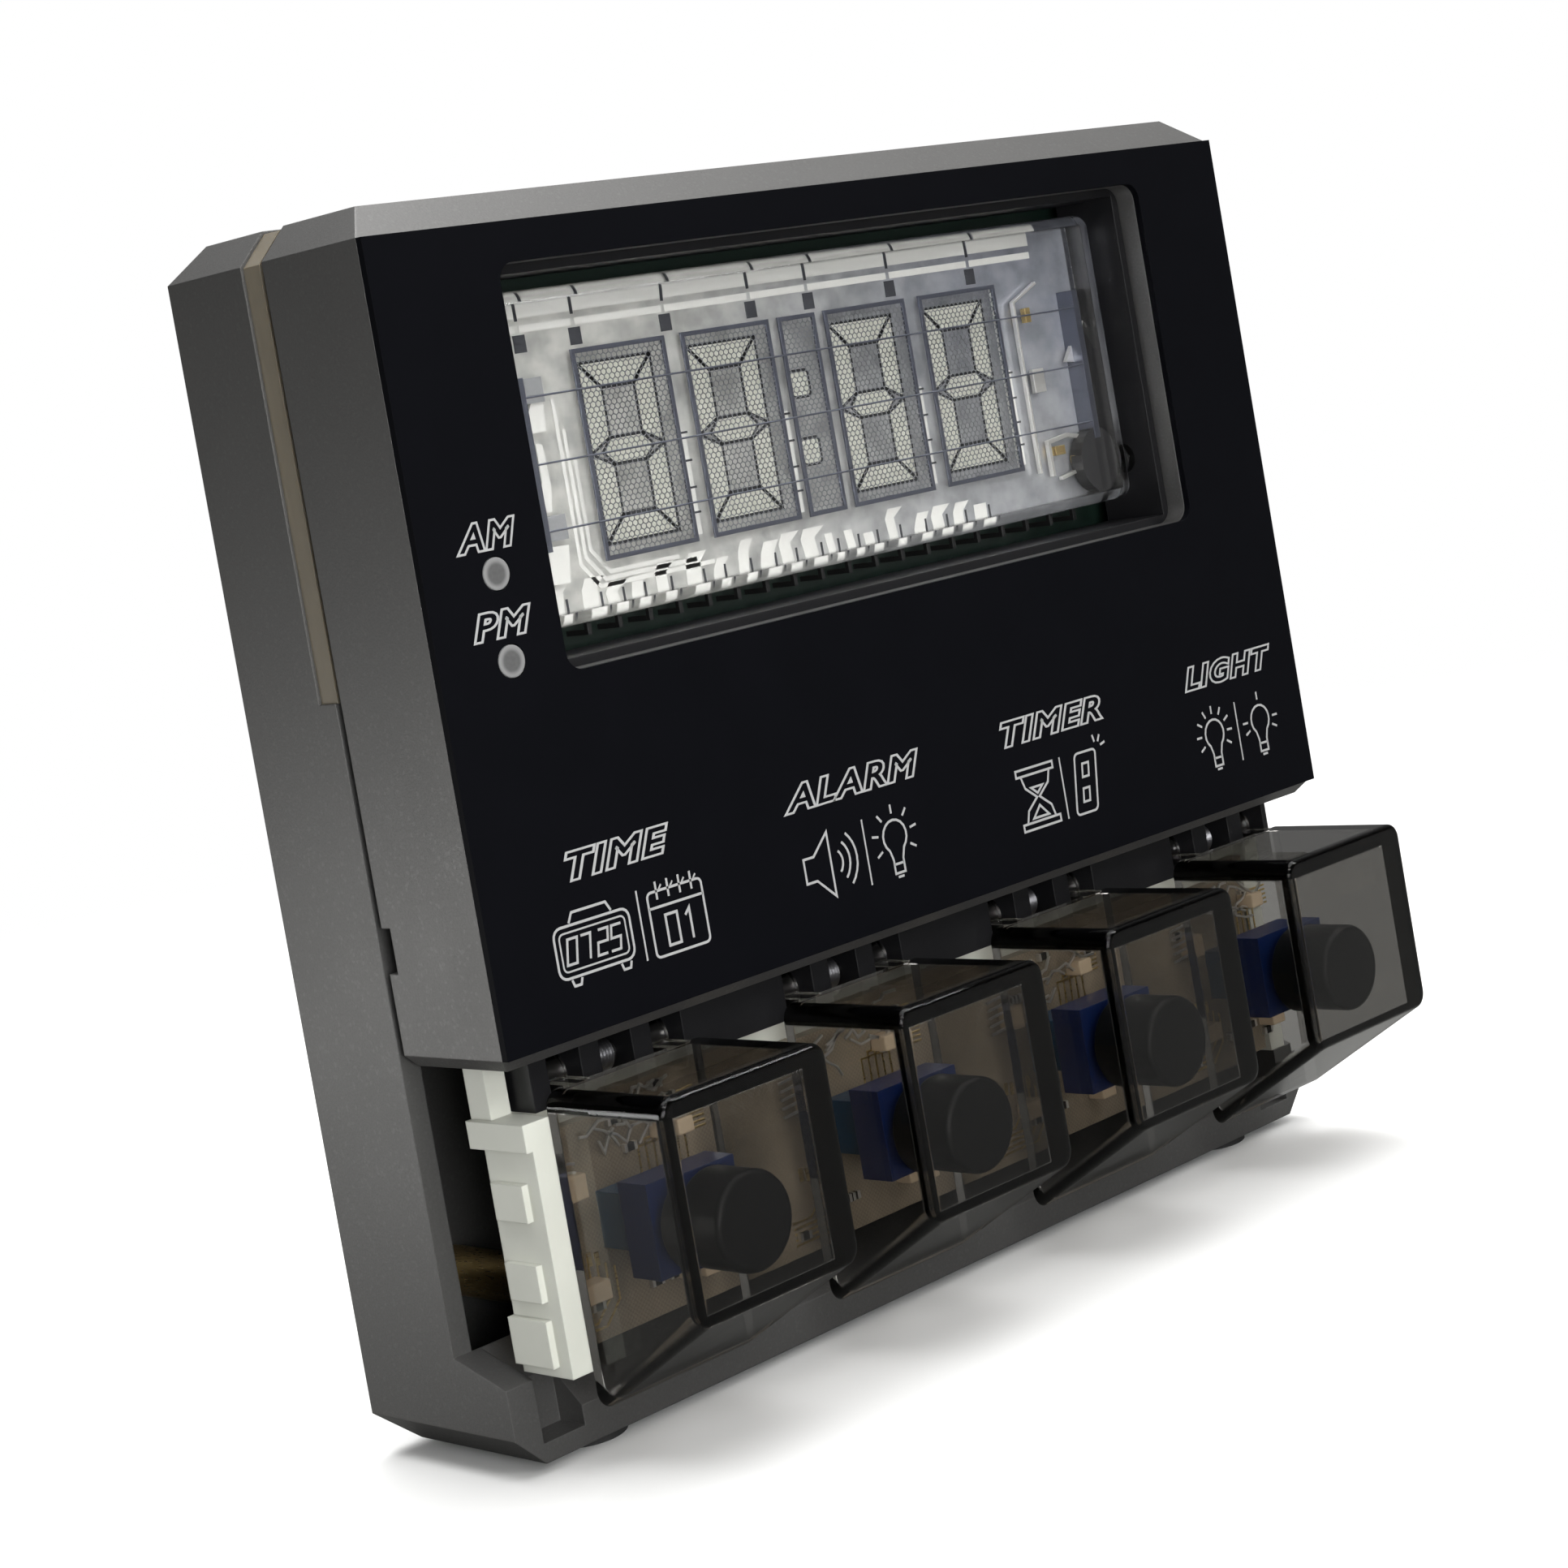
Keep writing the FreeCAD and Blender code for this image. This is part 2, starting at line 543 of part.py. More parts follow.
def display_grids():
    """Thin steel frames in front of the four digits and the colon."""
    frames = []
    layout = [("one", -1.5, "dims.grid_width"), ("two", -0.5, "dims.grid_width"),
              ("three", 0.5, "dims.grid_width"), ("four", 1.5, "dims.grid_width")]
    shift = "(dims.colon_width + dims.grid_rail) / 2"
    back = f"{SUBSTRATE} - dims.grid_gap"
    front = f"{back} - dims.grid_thickness"
    top = "dims.grid_low + dims.grid_height"
    for name, steps, breadth in layout:
        outward = shift if steps > 0 else minus(shift)
        middle = f"(dims.grid_centre + {steps} * dims.grid_pitch + {outward})"
        frames.append((name, middle, breadth))
    frames.append(("colon", "dims.grid_centre", "dims.colon_width"))
    members = []
    for name, middle, breadth in frames:
        low = (f"{middle} - {breadth} / 2", front, "dims.grid_low")
        high = (f"{middle} + {breadth} / 2", back, top)
        opening_low = (f"{middle} - {breadth} / 2 + dims.grid_rail", f"{front} - {PAST}",
                       "dims.grid_low + dims.grid_rail")
        opening_high = (f"{middle} + {breadth} / 2 - dims.grid_rail", f"{back} + {PAST}",
                        f"{top} - dims.grid_rail")
        plate = box(f"grid_plate_{name}", low, high)
        opening = box(f"grid_opening_{name}", opening_low, opening_high)
        members.append(cut(f"grid_frame_{name}", plate, opening))
        for end, height in (("low", "dims.grid_low"), ("high", f"{top} - dims.grid_rail")):
            members.append(box(f"grid_leg_{name}_{end}", (f"{middle} - dims.grid_rail", back, height),
                               (f"{middle} + dims.grid_rail", SUBSTRATE, f"{height} + dims.grid_rail")))
    keep("display_grids", group("display_grids", members))


def display_filaments():
    """Heater wires along the tube, with a support at each end."""
    reach = "(dims.glass_width / 2 - 3 * dims.glass_wall)"
    wire_y = f"({SUBSTRATE} - dims.filament_gap)"
    middle_z = "(dims.grid_low + dims.grid_height / 2)"
    members = []
    for number in (-1, 0, 1):
        start = (f"dims.window_centre - {reach}", wire_y, f"{middle_z} + {number} * dims.filament_pitch")
        members.append(rod(f"heater_wire_{number + 2}", start, "dims.filament_radius", f"2 * {reach}",
                           ALONG_X))
    for name, side in (("left", -1), ("right", 1)):
        inner = f"(dims.window_centre + {side} * {reach})"
        edges = (inner, f"{inner} + {side} * 2 * dims.grid_rail")
        left, right = edges if side > 0 else edges[::-1]
        low = (left, f"{wire_y} - dims.filament_radius", f"{middle_z} - 1.3 * dims.filament_pitch")
        high = (right, SUBSTRATE, f"{middle_z} + 1.3 * dims.filament_pitch")
        members.append(box(f"heater_support_{name}", low, high))
    keep("display_filaments", group("display_filaments", members))


def display_leads():
    """Row of leads under the tube that bend back to the main board."""
    count = int(value("dims.glass_width / dims.pin_pitch")) - 1
    front = f"({SUBSTRATE} + dims.substrate / 3)"
    members = []
    for number in range(count):
        middle = f"dims.window_centre + {number - (count - 1) / 2} * dims.pin_pitch"
        left, right = f"{middle} - dims.pin_size / 2", f"{middle} + dims.pin_size / 2"
        low = "(dims.glass_low - dims.pin_drop)"
        members.append(box(f"lead_down_{number}", (left, front, low),
                           (right, f"{front} + dims.pin_size", "dims.glass_low")))
        members.append(box(f"lead_back_{number}", (left, f"{front} + dims.pin_size", low),
                           (right, BOARD_FRONT, f"{low} + dims.pin_size")))
    keep("display_leads", group("display_leads", members))


def indicator_lights():
    """Two round light guides, and the light sources behind them on the main board."""
    side = minus("dims.light_side")
    length = "dims.board_front - dims.led_height"
    sources = []
    for name, height in (("am", "dims.am_height"), ("pm", "dims.pm_height")):
        keep(f"{name}_light", rod(f"{name}_light", (side, FACE, height), "dims.light_radius", length))
        low = (f"{side} - dims.led_side / 2", f"{BOARD_FRONT} - dims.led_height",
               f"{height} - dims.led_side / 2")
        high = (f"{side} + dims.led_side / 2", BOARD_FRONT, f"{height} + dims.led_side / 2")
        sources.append(box(f"{name}_source", low, high))
    keep("indicator_sources", group("indicator_sources", sources))


def block_on_board(name, spot, breadth, height, thickness):
    """A rectangular component on the back of the main board."""
    low = (f"{spot[0]} - {breadth} / 2", BOARD_BACK, f"{spot[1]} - {height} / 2")
    high = (f"{spot[0]} + {breadth} / 2", f"{BOARD_BACK} + {thickness}", f"{spot[1]} + {height} / 2")
    return keep(name, box(name, low, high))


def can_on_board(name, spot, radius, height):
    """A round component on the back of the main board."""
    return keep(name, rod(name, (spot[0], BOARD_BACK, spot[1]), radius, height))


def main_board():
    """The main circuit board with its components and its brass posts."""
    half = "dims.board_width / 2"
    keep("main_board", box("main_board", (minus(half), BOARD_FRONT, "dims.board_low"),
                           (half, BOARD_BACK, "dims.board_top")))
    block_on_board("controller_chip", CONTROLLER_SPOT, "dims.controller_side", "dims.controller_side",
                   "dims.chip_height")
    block_on_board("driver_chip", DRIVER_SPOT, "dims.driver_width", "dims.driver_depth", "dims.chip_height")
    block_on_board("clock_crystal", CRYSTAL_SPOT, "dims.crystal_width", "dims.crystal_depth",
                   "dims.crystal_depth")
    can_on_board("supply_coil", COIL_SPOT, "dims.coil_radius", "dims.coil_height")
    can_on_board("supply_capacitor", CAPACITOR_SPOT, "dims.capacitor_radius", "dims.capacitor_height")
    can_on_board("buzzer", BUZZER_SPOT, "dims.buzzer_radius", "dims.buzzer_height")
    cell_x, cell_z = CELL_SPOT
    cell_start = f"{BOARD_BACK} + dims.holder_height - dims.cell_height"
    cup = rod("holder_cup", (cell_x, BOARD_BACK, cell_z), "dims.holder_radius", "dims.holder_height")
    pocket = rod("holder_pocket", (cell_x, cell_start, cell_z), "dims.cell_radius + dims.running_gap",
                 f"dims.cell_height + {PAST}")
    keep("cell_holder", cut("cell_holder", cup, pocket))
    keep("coin_cell", rod("coin_cell", (cell_x, cell_start, cell_z), "dims.cell_radius", "dims.cell_height"))
    posts = []
    for name, side, height in POSTS:
        start = (f"{side} * {POST_SIDE}", BOARD_BACK, height)
        posts.append(rod(f"post_{name}", start, "dims.post_radius", f"{REAR_INSIDE} - {BOARD_BACK}"))
    keep("board_posts", group("board_posts", posts))


def light_strip():
    """Translucent strip that runs up both sides and over the top between the shells."""
    body = doc.addObject("PartDesign::Body", "light_strip")
    pad_back(body, "strip_arch", shell_outline("dims.strip_inset", "dims.strip_low"), TRAY_FRONT, STRIP_BACK)
    inner = shell_outline("(dims.strip_inset + dims.strip_thickness)", f"(dims.strip_low - {PAST})")
    cut_back(body, "strip_inside", inner, f"{TRAY_FRONT} - {PAST}", f"{STRIP_BACK} + {PAST}")
    return keep("light_strip", body)


def liner_frame():
    """Black frame inside both shells. It joins them and shows as the dark seam."""
    body = doc.addObject("PartDesign::Body", "liner_frame")
    start = f"({FACE} + dims.liner_front)"
    low = f"({SHELL_LOW} + dims.wall + dims.seat)"
    pad_back(body, "liner_block", shell_outline("(dims.wall + dims.seat)", low), start, STRIP_BACK)
    opening = shell_outline("(dims.wall + dims.seat + dims.liner_thickness)",
                            f"({low} + dims.liner_thickness)")
    cut_back(body, "liner_opening", opening, f"{start} - {PAST}", f"{STRIP_BACK} + {PAST}")
    return keep("liner_frame", body)


def rear_housing():
    """The rear tray: rear wall, sides, top, floor, and a sloping sill below the keys."""
    body = doc.addObject("PartDesign::Body", "rear_housing")
    floor = "dims.foot_height"
    outline = shell_outline("0", floor, "dims.edge_chamfer")
    pad_back(body, "tray_block", outline, SILL_FRONT, REAR)
    above = f"dims.case_top + {PAST}"
    flare = [(f"{SILL_FRONT} - {PAST}", f"{floor} + dims.cheek_rise"),
             (SILL_FRONT, f"{floor} + dims.cheek_rise"),
             (TRAY_FRONT, f"{floor} + dims.flare_rise"), (TRAY_FRONT, above), (f"{SILL_FRONT} - {PAST}", above)]
    across(body, "Pocket", "side_flare", flare, f"dims.width + {PAST}")
    slope = [(f"{SILL_FRONT} - {PAST}", f"{floor} + dims.sill_rise"), (SILL_FRONT, f"{floor} + dims.sill_rise"),
             (TRAY_FRONT, f"{floor} + dims.flare_rise"), (TRAY_FRONT, above), (f"{SILL_FRONT} - {PAST}", above)]
    across(body, "Pocket", "sill_slope", slope, f"dims.width - 2 * dims.cheek_width")
    hollow = shell_outline("dims.wall", f"({floor} + dims.wall)",
                           f"(dims.edge_chamfer - {CORNER_SHARE:.6f} * dims.wall)")
    cut_back(body, "tray_hollow", hollow, TRAY_FRONT, REAR_INSIDE)
    rebate = rectangle((f"{TRAY_FRONT} - {PAST}", "dims.strip_low"), (STRIP_BACK, above))
    across(body, "Pocket", "strip_rebate", rebate, f"dims.width + {PAST}")
    ends = (("top", "dims.case_top", above, "-"), ("low", floor, f"{floor} - {PAST}", "+"))
    for name, level, outside, turn in ends:
        bevel = [(f"{REAR} - dims.rear_bevel", level), (REAR, f"{level} {turn} dims.edge_chamfer"),
                 (f"{REAR} + {PAST}", f"{level} {turn} dims.edge_chamfer"),
                 (f"{REAR} + {PAST}", outside), (f"{REAR} - dims.rear_bevel", outside)]
        across(body, "Pocket", f"rear_bevel_{name}", bevel, f"dims.width + {PAST}")
    pocket = rectangle((f"{CHEEK} - dims.sill_pocket", f"{floor} + dims.sill_rise / 2"),
                       (CHEEK, f"{floor} + dims.cheek_rise"))
    mirrored = [(minus(first), second) for first, second in pocket]
    for side, corners in (("right", pocket), ("left", mirrored)):
        cut_back(body, f"sill_pocket_{side}", corners, f"{SILL_FRONT} - {PAST}",
                 f"{SILL_FRONT} + dims.sill_rise")
    rear_openings(body)
    return keep("rear_housing", body)


def screw_spots():
    """Middles of the four screws in the rear wall."""
    return [(f"{side} * {POST_SIDE}", height) for side in (-1, 1) for height in ("dims.screw_low", POST_HIGH)]


def foot_spots():
    """Middles of the four rubber feet."""
    return [(f"{side} * dims.foot_side", f"({FACE} + {back})")
            for side in (-1, 1) for back in ("dims.foot_front", "dims.foot_back")]


def rear_openings(body):
    """Power inlet, screw holes and sound holes in the rear wall, and pockets for the feet."""
    beyond = f"{REAR} + {PAST}"
    inlet = rectangle(("-dims.inlet_width / 2 - dims.screw_gap",
                       "dims.inlet_height - dims.inlet_tall / 2 - dims.screw_gap"),
                      ("dims.inlet_width / 2 + dims.screw_gap",
                       "dims.inlet_height + dims.inlet_tall / 2 + dims.screw_gap"))
    cut_back(body, "inlet_opening", inlet, f"{REAR_INSIDE} - {PAST}", beyond)
    drill_back(body, "screw_seats", screw_spots(), "dims.screw_radius + dims.screw_gap",
               f"{REAR} - dims.screw_head", beyond)
    drill_back(body, "screw_holes", screw_spots(), "dims.screw_shank + dims.screw_gap",
               f"{REAR_INSIDE} - {PAST}", beyond)
    buzzer_x, buzzer_z = BUZZER_SPOT
    ring = [BUZZER_SPOT]
    for number in range(SOUND_HOLES):
        angle = number * 360 / SOUND_HOLES
        ring.append((f"{buzzer_x} + dims.sound_ring * cos({angle})",
                     f"{buzzer_z} + dims.sound_ring * sin({angle})"))
    drill_back(body, "sound_holes", ring, "dims.sound_hole", f"{REAR_INSIDE} - {PAST}", beyond)
    drawing = circles(body, "foot_circles", "XY_Plane", "dims.foot_height", foot_spots(),
                      "dims.foot_radius + dims.screw_gap")
    extrude(body, "Pocket", "foot_pockets", drawing, "dims.foot_recess", backwards=True)


def rear_fixings():
    """Rear screws and rubber feet."""
    screws = []
    for number, (side, height) in enumerate(screw_spots(), start=1):
        head = rod(f"screw_head_{number}", (side, f"{REAR} - dims.screw_head", height),
                   "dims.screw_radius", "dims.screw_head")
        socket = doc.addObject("Part::Prism", f"screw_socket_{number}")
        socket.Polygon = 6
        socket.setExpression("Circumradius", "dims.screw_socket / 2")
        socket.setExpression("Height", f"dims.socket_depth + {PAST}")
        place(socket, (side, f"{REAR} - dims.socket_depth", height), ALONG_Y)
        shank = rod(f"screw_shank_{number}", (side, REAR_INSIDE, height), "dims.screw_shank",
                    "dims.wall - dims.screw_head")
        screws += [cut(f"screw_head_cut_{number}", head, socket), shank]
    keep("rear_screws", group("rear_screws", screws))
    feet = []
    for number, (side, back) in enumerate(foot_spots(), start=1):
        feet.append(rod(f"foot_{number}", (side, back, 0), "dims.foot_radius",
                        "dims.foot_height + dims.foot_recess", UPRIGHT))
    keep("rubber_feet", group("rubber_feet", feet))


def power_inlet():
    """Flat reversible power socket in the rear wall, on a small board of its own."""
    body = doc.addObject("PartDesign::Body", "power_socket")
    half_width, half_height = "dims.inlet_width / 2", "dims.inlet_tall / 2"
    start = f"({REAR} - dims.inlet_depth)"
    pad_back(body, "socket_shell", rectangle((minus(half_width), f"dims.inlet_height - {half_height}"),
                                             (half_width, f"dims.inlet_height + {half_height}")), start, REAR)
    round_edges(body, "socket_rounding", f"{half_height} * 0.9", lambda edge: edge.BoundBox.YLength > PAST)
    inner = f"({half_width} - dims.inlet_wall)"
    inner_height = f"({half_height} - dims.inlet_wall)"
    cut_back(body, "socket_mouth",
             rectangle((f"-{inner} + {inner_height} / 2", f"dims.inlet_height - {inner_height}"),
                       (f"{inner} - {inner_height} / 2", f"dims.inlet_height + {inner_height}")),
             f"{start} + dims.inlet_wall * 2", f"{REAR} + {PAST}")
    keep("power_socket", body)
    tongue_start = f"{start} + dims.inlet_wall * 2"
    keep("power_tongue", box("power_tongue",
                             ("-dims.tongue_width / 2", tongue_start,
                              "dims.inlet_height - dims.tongue_thick / 2"),
                             ("dims.tongue_width / 2", f"{tongue_start} + dims.tongue_depth",
                              "dims.inlet_height + dims.tongue_thick / 2")))
    board_top = f"(dims.inlet_height - {half_height})"
    keep("power_board", box("power_board",
                            ("-dims.power_board_width / 2", f"{REAR_INSIDE} - dims.power_board_depth",
                             f"{board_top} - dims.board_thickness"),
                            ("dims.power_board_width / 2", REAR_INSIDE, board_top)))


def key_centre(number):
    """Middle of a key, counted from the left."""
    return f"(dims.key_shift + {number - (len(KEY_NAMES) - 1) / 2} * dims.key_pitch)"


def key_cap(name, centre):
    """A clear cap: a wedge seen from the side, open at the back, with two arms that reach its hinge."""
    body = doc.addObject("PartDesign::Body", name)
    rear = f"({FACE} + dims.key_rear)"
    profile = [(KEY_FRONT, "dims.key_front_low"), (KEY_FRONT, "dims.key_top"),
               (rear, "dims.key_top"), (rear, "dims.key_rear_low")]
    across(body, "Pad", f"{name}_wedge", profile, "dims.key_width", centre)
    round_edges(body, f"{name}_long_edges", "dims.key_round",
                lambda edge: edge.BoundBox.YLength > PAST and edge.BoundBox.XLength < 0.01)
    round_edges(body, f"{name}_front_edges", "dims.key_round / 3",
                lambda edge: edge.BoundBox.YMax < value(KEY_FRONT) + 0.01)
    slope = f"((dims.key_front_low - dims.key_rear_low) / (dims.key_reach + dims.key_rear))"
    inner_front = f"({KEY_FRONT} + dims.key_wall)"
    behind = f"({rear} + {PAST})"
    inner_low = f"(dims.key_front_low - {slope} * dims.key_wall + dims.key_floor)"
    rear_low = f"(dims.key_rear_low - {slope} * {PAST} + dims.key_floor)"
    cavity = [(inner_front, inner_low), (inner_front, "dims.key_top - dims.key_wall"),
              (behind, "dims.key_top - dims.key_wall"), (behind, rear_low)]
    across(body, "Pocket", f"{name}_cavity", cavity, "dims.key_width - 2 * dims.key_wall", centre)
    for side, sign in (("left", "-"), ("right", "+")):
        middle = f"({centre} {sign} dims.knuckle_side)"
        arm = rectangle((f"{rear} - {PAST}", "dims.key_top - dims.arm_thickness"), (SHAFT_Y, "dims.key_top"))
        across(body, "Pad", f"{name}_arm_{side}", arm, "dims.knuckle_width", middle)
        knuckle = circles(body, f"{name}_knuckle_circle_{side}", "YZ_Plane", middle,
                          [(SHAFT_Y, "dims.shaft_height")], "dims.knuckle_radius")
        extrude(body, "Pad", f"{name}_knuckle_{side}", knuckle, "dims.knuckle_width", both_ways=True)
    bore = circles(body, f"{name}_bore_circle", "YZ_Plane", centre,
                   [(SHAFT_Y, "dims.shaft_height")], "dims.shaft_radius + dims.running_gap")
    extrude(body, "Pocket", f"{name}_bore", bore, "dims.key_width", both_ways=True)
    return keep(name, body)


def hinge_rail():
    """Black rail under the front shell. Its slots take the keys' arms and their return springs."""
    body = doc.addObject("PartDesign::Body", "hinge_rail")
    front, back = f"({FACE} + dims.rail_front)", f"({FACE} + dims.rail_back)"
    across(body, "Pad", "rail_bar", rectangle((front, "dims.rail_low"), (back, SHELL_LOW)),
           "dims.rail_width", "dims.rail_shift")
    slot_back = f"({SHAFT_Y} + dims.knuckle_radius + dims.slot_gap)"
    slot_top = "(dims.shaft_height + dims.knuckle_radius + dims.slot_gap)"
    opening = rectangle((f"{front} - {PAST}", f"dims.rail_low - {PAST}"), (slot_back, slot_top))
    for number, name in enumerate(KEY_NAMES):
        for place_name, step in (("left", -1), ("middle", 0), ("right", 1)):
            middle = f"({key_centre(number)} + {step} * dims.knuckle_side)"
            across(body, "Pocket", f"slot_{name}_{place_name}", opening,
                   "dims.knuckle_width + 2 * dims.slot_gap", middle)
    bore = circles(body, "rail_bore_circle", "YZ_Plane", "dims.rail_shift",
                   [(SHAFT_Y, "dims.shaft_height")], "dims.shaft_radius + dims.running_gap")
    extrude(body, "Pocket", "rail_bore", bore, "dims.shaft_length", both_ways=True)
    keep("hinge_rail", body)
    start = ("dims.rail_shift - dims.shaft_length / 2", SHAFT_Y, "dims.shaft_height")
    keep("hinge_shaft", rod("hinge_shaft", start, "dims.shaft_radius", "dims.shaft_length", ALONG_X))


def return_spring(name, centre):
    """Tightly wound coil around the hinge shaft, with one leg in the rail and one on the key."""
    body = doc.addObject("PartDesign::Body", name)
    half_length = f"({SPRING_TURNS / 2} * dims.spring_pitch)"
    outline = [(f"{centre} + {half_length}", "dims.spring_radius - dims.spring_wire"),
               (f"{centre} - {half_length}", "dims.spring_radius - dims.spring_wire")]
    for number in range(SPRING_TURNS):
        valley = f"{centre} - {half_length} + {number} * dims.spring_pitch"
        outline.append((valley, "dims.spring_radius"))
        outline.append((f"{valley} + dims.spring_pitch / 2", "dims.spring_radius + dims.spring_wire"))
    outline.append((f"{centre} + {half_length}", "dims.spring_radius"))
    drawing = polygon(body, f"{name}_turns_outline", "XZ_Plane", minus(SHAFT_Y), outline)
    drawing.setExpression("AttachmentOffset.Base.y", "dims.shaft_height")
    coil = body.newObject("PartDesign::Revolution", f"{name}_turns")
    coil.Profile = drawing
    coil.ReferenceAxis = (drawing, ["H_Axis"])
    end = f"({half_length} - dims.spring_pitch)"
    upright = circles(body, f"{name}_upright_circle", "XY_Plane", "dims.shaft_height",
                      [(f"{centre} + {end}", f"{SHAFT_Y} + dims.spring_radius")], "dims.leg_wire")
    extrude(body, "Pad", f"{name}_upright", upright, "dims.spring_leg")
    reach = circles(body, f"{name}_reach_circle", "XZ_Plane", minus(SHAFT_Y),
                    [(f"{centre} - {end}", "dims.shaft_height - dims.spring_radius")], "dims.leg_wire")
    extrude(body, "Pad", f"{name}_reach", reach, "dims.spring_reach")
    return keep(name, body)


def push_switch(name, centre):
    """Blue push switch on the key board, with a round black plunger in front of it."""
    half = "dims.switch_side / 2"
    height = "dims.plunger_height"
    block = box(f"block_{name}", (f"{centre} - {half}", SWITCH_FRONT, f"{height} - {half}"),
                (f"{centre} + {half}", SWITCH_BACK, f"{height} + {half}"))
    guide = rod(f"guide_{name}", (centre, f"{SWITCH_FRONT} - {PAST}", height),
                "dims.plunger_stem + dims.running_gap", f"dims.switch_depth + 2 * {PAST}")
    keep(f"switch_{name}", cut(f"switch_{name}", block, guide))
    foot = "dims.switch_foot / 2"
    foot_low = (f"{centre} - {foot}", SWITCH_BACK, f"{height} - {foot}")
    foot_high = (f"{centre} + {foot}", KEY_BOARD_FRONT, f"{height} + {foot}")
    keep(f"switch_foot_{name}", box(f"switch_foot_{name}", foot_low, foot_high))
    body = doc.addObject("PartDesign::Body", f"plunger_{name}")
    spot = [(centre, height)]
    disc = circles(body, f"plunger_disc_{name}", "XZ_Plane", minus(PLUNGER_FRONT), spot, "dims.plunger_radius")
    extrude(body, "Pad", f"plunger_cap_{name}", disc, "dims.plunger_length", backwards=True)
    round_edges(body, f"plunger_round_{name}", "dims.plunger_radius / 8",
                lambda edge: edge.BoundBox.YMax < value(PLUNGER_FRONT) + 0.01)
    stem = circles(body, f"plunger_stem_circle_{name}", "XZ_Plane", minus(PLUNGER_BACK), spot,
                   "dims.plunger_stem")
    extrude(body, "Pad", f"plunger_stem_{name}", stem, "dims.stem_length", backwards=True)
    keep(f"plunger_{name}", body)


def key_board():
    """Key board on its white bracket, the bracket's posts, and the ribbon to the main board."""
    half = "dims.key_board_width / 2"
    keep("key_board", box("key_board", (minus(half), KEY_BOARD_FRONT, "dims.key_board_low"),
                          (half, KEY_BOARD_BACK, "dims.key_board_top")))
    body = doc.addObject("PartDesign::Body", "key_bracket")
    outer = "(dims.bracket_width / 2)"
    inner = f"({outer} - dims.bracket_column)"
    front = f"({FACE} + dims.bracket_front)"
    for name, low in (("high", "(dims.rail_low - dims.beam_high)"), ("low", "dims.beam_low")):
        beam = rectangle((minus(inner), low), (inner, f"{low} + dims.beam_high"))
        pad_back(body, f"beam_{name}", beam, KEY_BOARD_BACK, BRACKET_BACK)
    column = rectangle((minus(outer), "dims.bracket_low"), (minus(inner), "dims.rail_low"))
    column_back = f"({FACE} + dims.column_back)"
    pad_back(body, "column_left", column, front, column_back)
    column = rectangle((inner, "dims.bracket_low"), (outer, "dims.rail_low"))
    pad_back(body, "column_right", column, KEY_BOARD_FRONT, column_back)
    raised = f"({outer} + dims.block_raise)"
    flange = rectangle((minus(raised), "dims.rail_low - dims.bracket_flange"), (minus(inner), "dims.rail_low"))
    pad_back(body, "column_flange", flange, front, f"{FACE} + dims.flange_back")
    ear = rectangle((minus(outer), "dims.rail_low"), (minus(inner), f"({SHELL_LOW} - dims.ear_gap)"))
    pad_back(body, "column_ear", ear, f"{FACE} + dims.ear_front", f"{FACE} + dims.flange_back")
    for name, low in (("upper", "dims.block_upper"), ("lower", "dims.block_lower")):
        block = rectangle((minus(raised), low), (minus(inner), f"{low} + dims.block_high"))
        start = f"({FACE} + dims.block_front)"
        pad_back(body, f"block_{name}", block, start, f"{start} + dims.block_wide")
    toe = rectangle((minus(raised), "dims.toe_low"), (minus(inner), "dims.toe_low + dims.toe_high"))
    pad_back(body, "column_toe", toe, f"{FACE} + dims.block_front", f"{column_back} + dims.seat")
    keep("key_bracket", body)
    posts = []
    for name, side in (("left", -1), ("right", 1)):
        start = (f"{side} * {POST_SIDE}", BRACKET_BACK, "dims.screw_low")
        posts.append(rod(f"bracket_post_{name}", start, "dims.post_radius", f"{REAR_INSIDE} - {BRACKET_BACK}"))
    keep("bracket_posts", group("bracket_posts", posts))

    ribbon = doc.addObject("PartDesign::Body", "key_ribbon")
    back, low, high = f"({FACE} + dims.ribbon_back)", "dims.ribbon_low", "dims.ribbon_high"
    thick = "dims.ribbon_thick"
    path = [(KEY_BOARD_BACK, low), (f"{back} + {thick}", low), (f"{back} + {thick}", f"{high} + {thick}"),
            (BOARD_BACK, f"{high} + {thick}"), (BOARD_BACK, high), (back, high),
            (back, f"{low} + {thick}"), (KEY_BOARD_BACK, f"{low} + {thick}")]
    across(ribbon, "Pad", "ribbon_band", path, "dims.ribbon_width", minus("dims.ribbon_side"))
    keep("key_ribbon", ribbon)


def check_and_write():
    """Stop on anything broken, then write each sub-part to a file named after it."""
    doc.recompute()
    broken = [item.Name for item in doc.Objects if {"Invalid", "Error"} & set(item.State)]
    if broken:
        raise RuntimeError(f"failed to build: {broken}")
    os.makedirs("parts", exist_ok=True)
    for name, solid in parts.items():
        shape = solid.Shape
        if shape.isNull() or not shape.isValid() or not shape.Solids:
            raise RuntimeError(f"{name} isn't a valid solid")
        shape.exportStep(f"parts/{name}.step")
        print(f"{name:20s} {len(shape.Solids):3d} solids {shape.Volume:10.1f} mm3")


front_housing()
front_panel()
display_bezel()
display_tube()
display_grids()
display_filaments()
display_leads()
indicator_lights()
main_board()
light_strip()
liner_frame()
rear_housing()
rear_fixings()
power_inlet()
hinge_rail()
for number, name in enumerate(KEY_NAMES):
    key_cap(f"key_{name}", key_centre(number))
    return_spring(f"spring_{name}", key_centre(number))
    push_switch(name, key_centre(number))
key_board()
check_and_write()
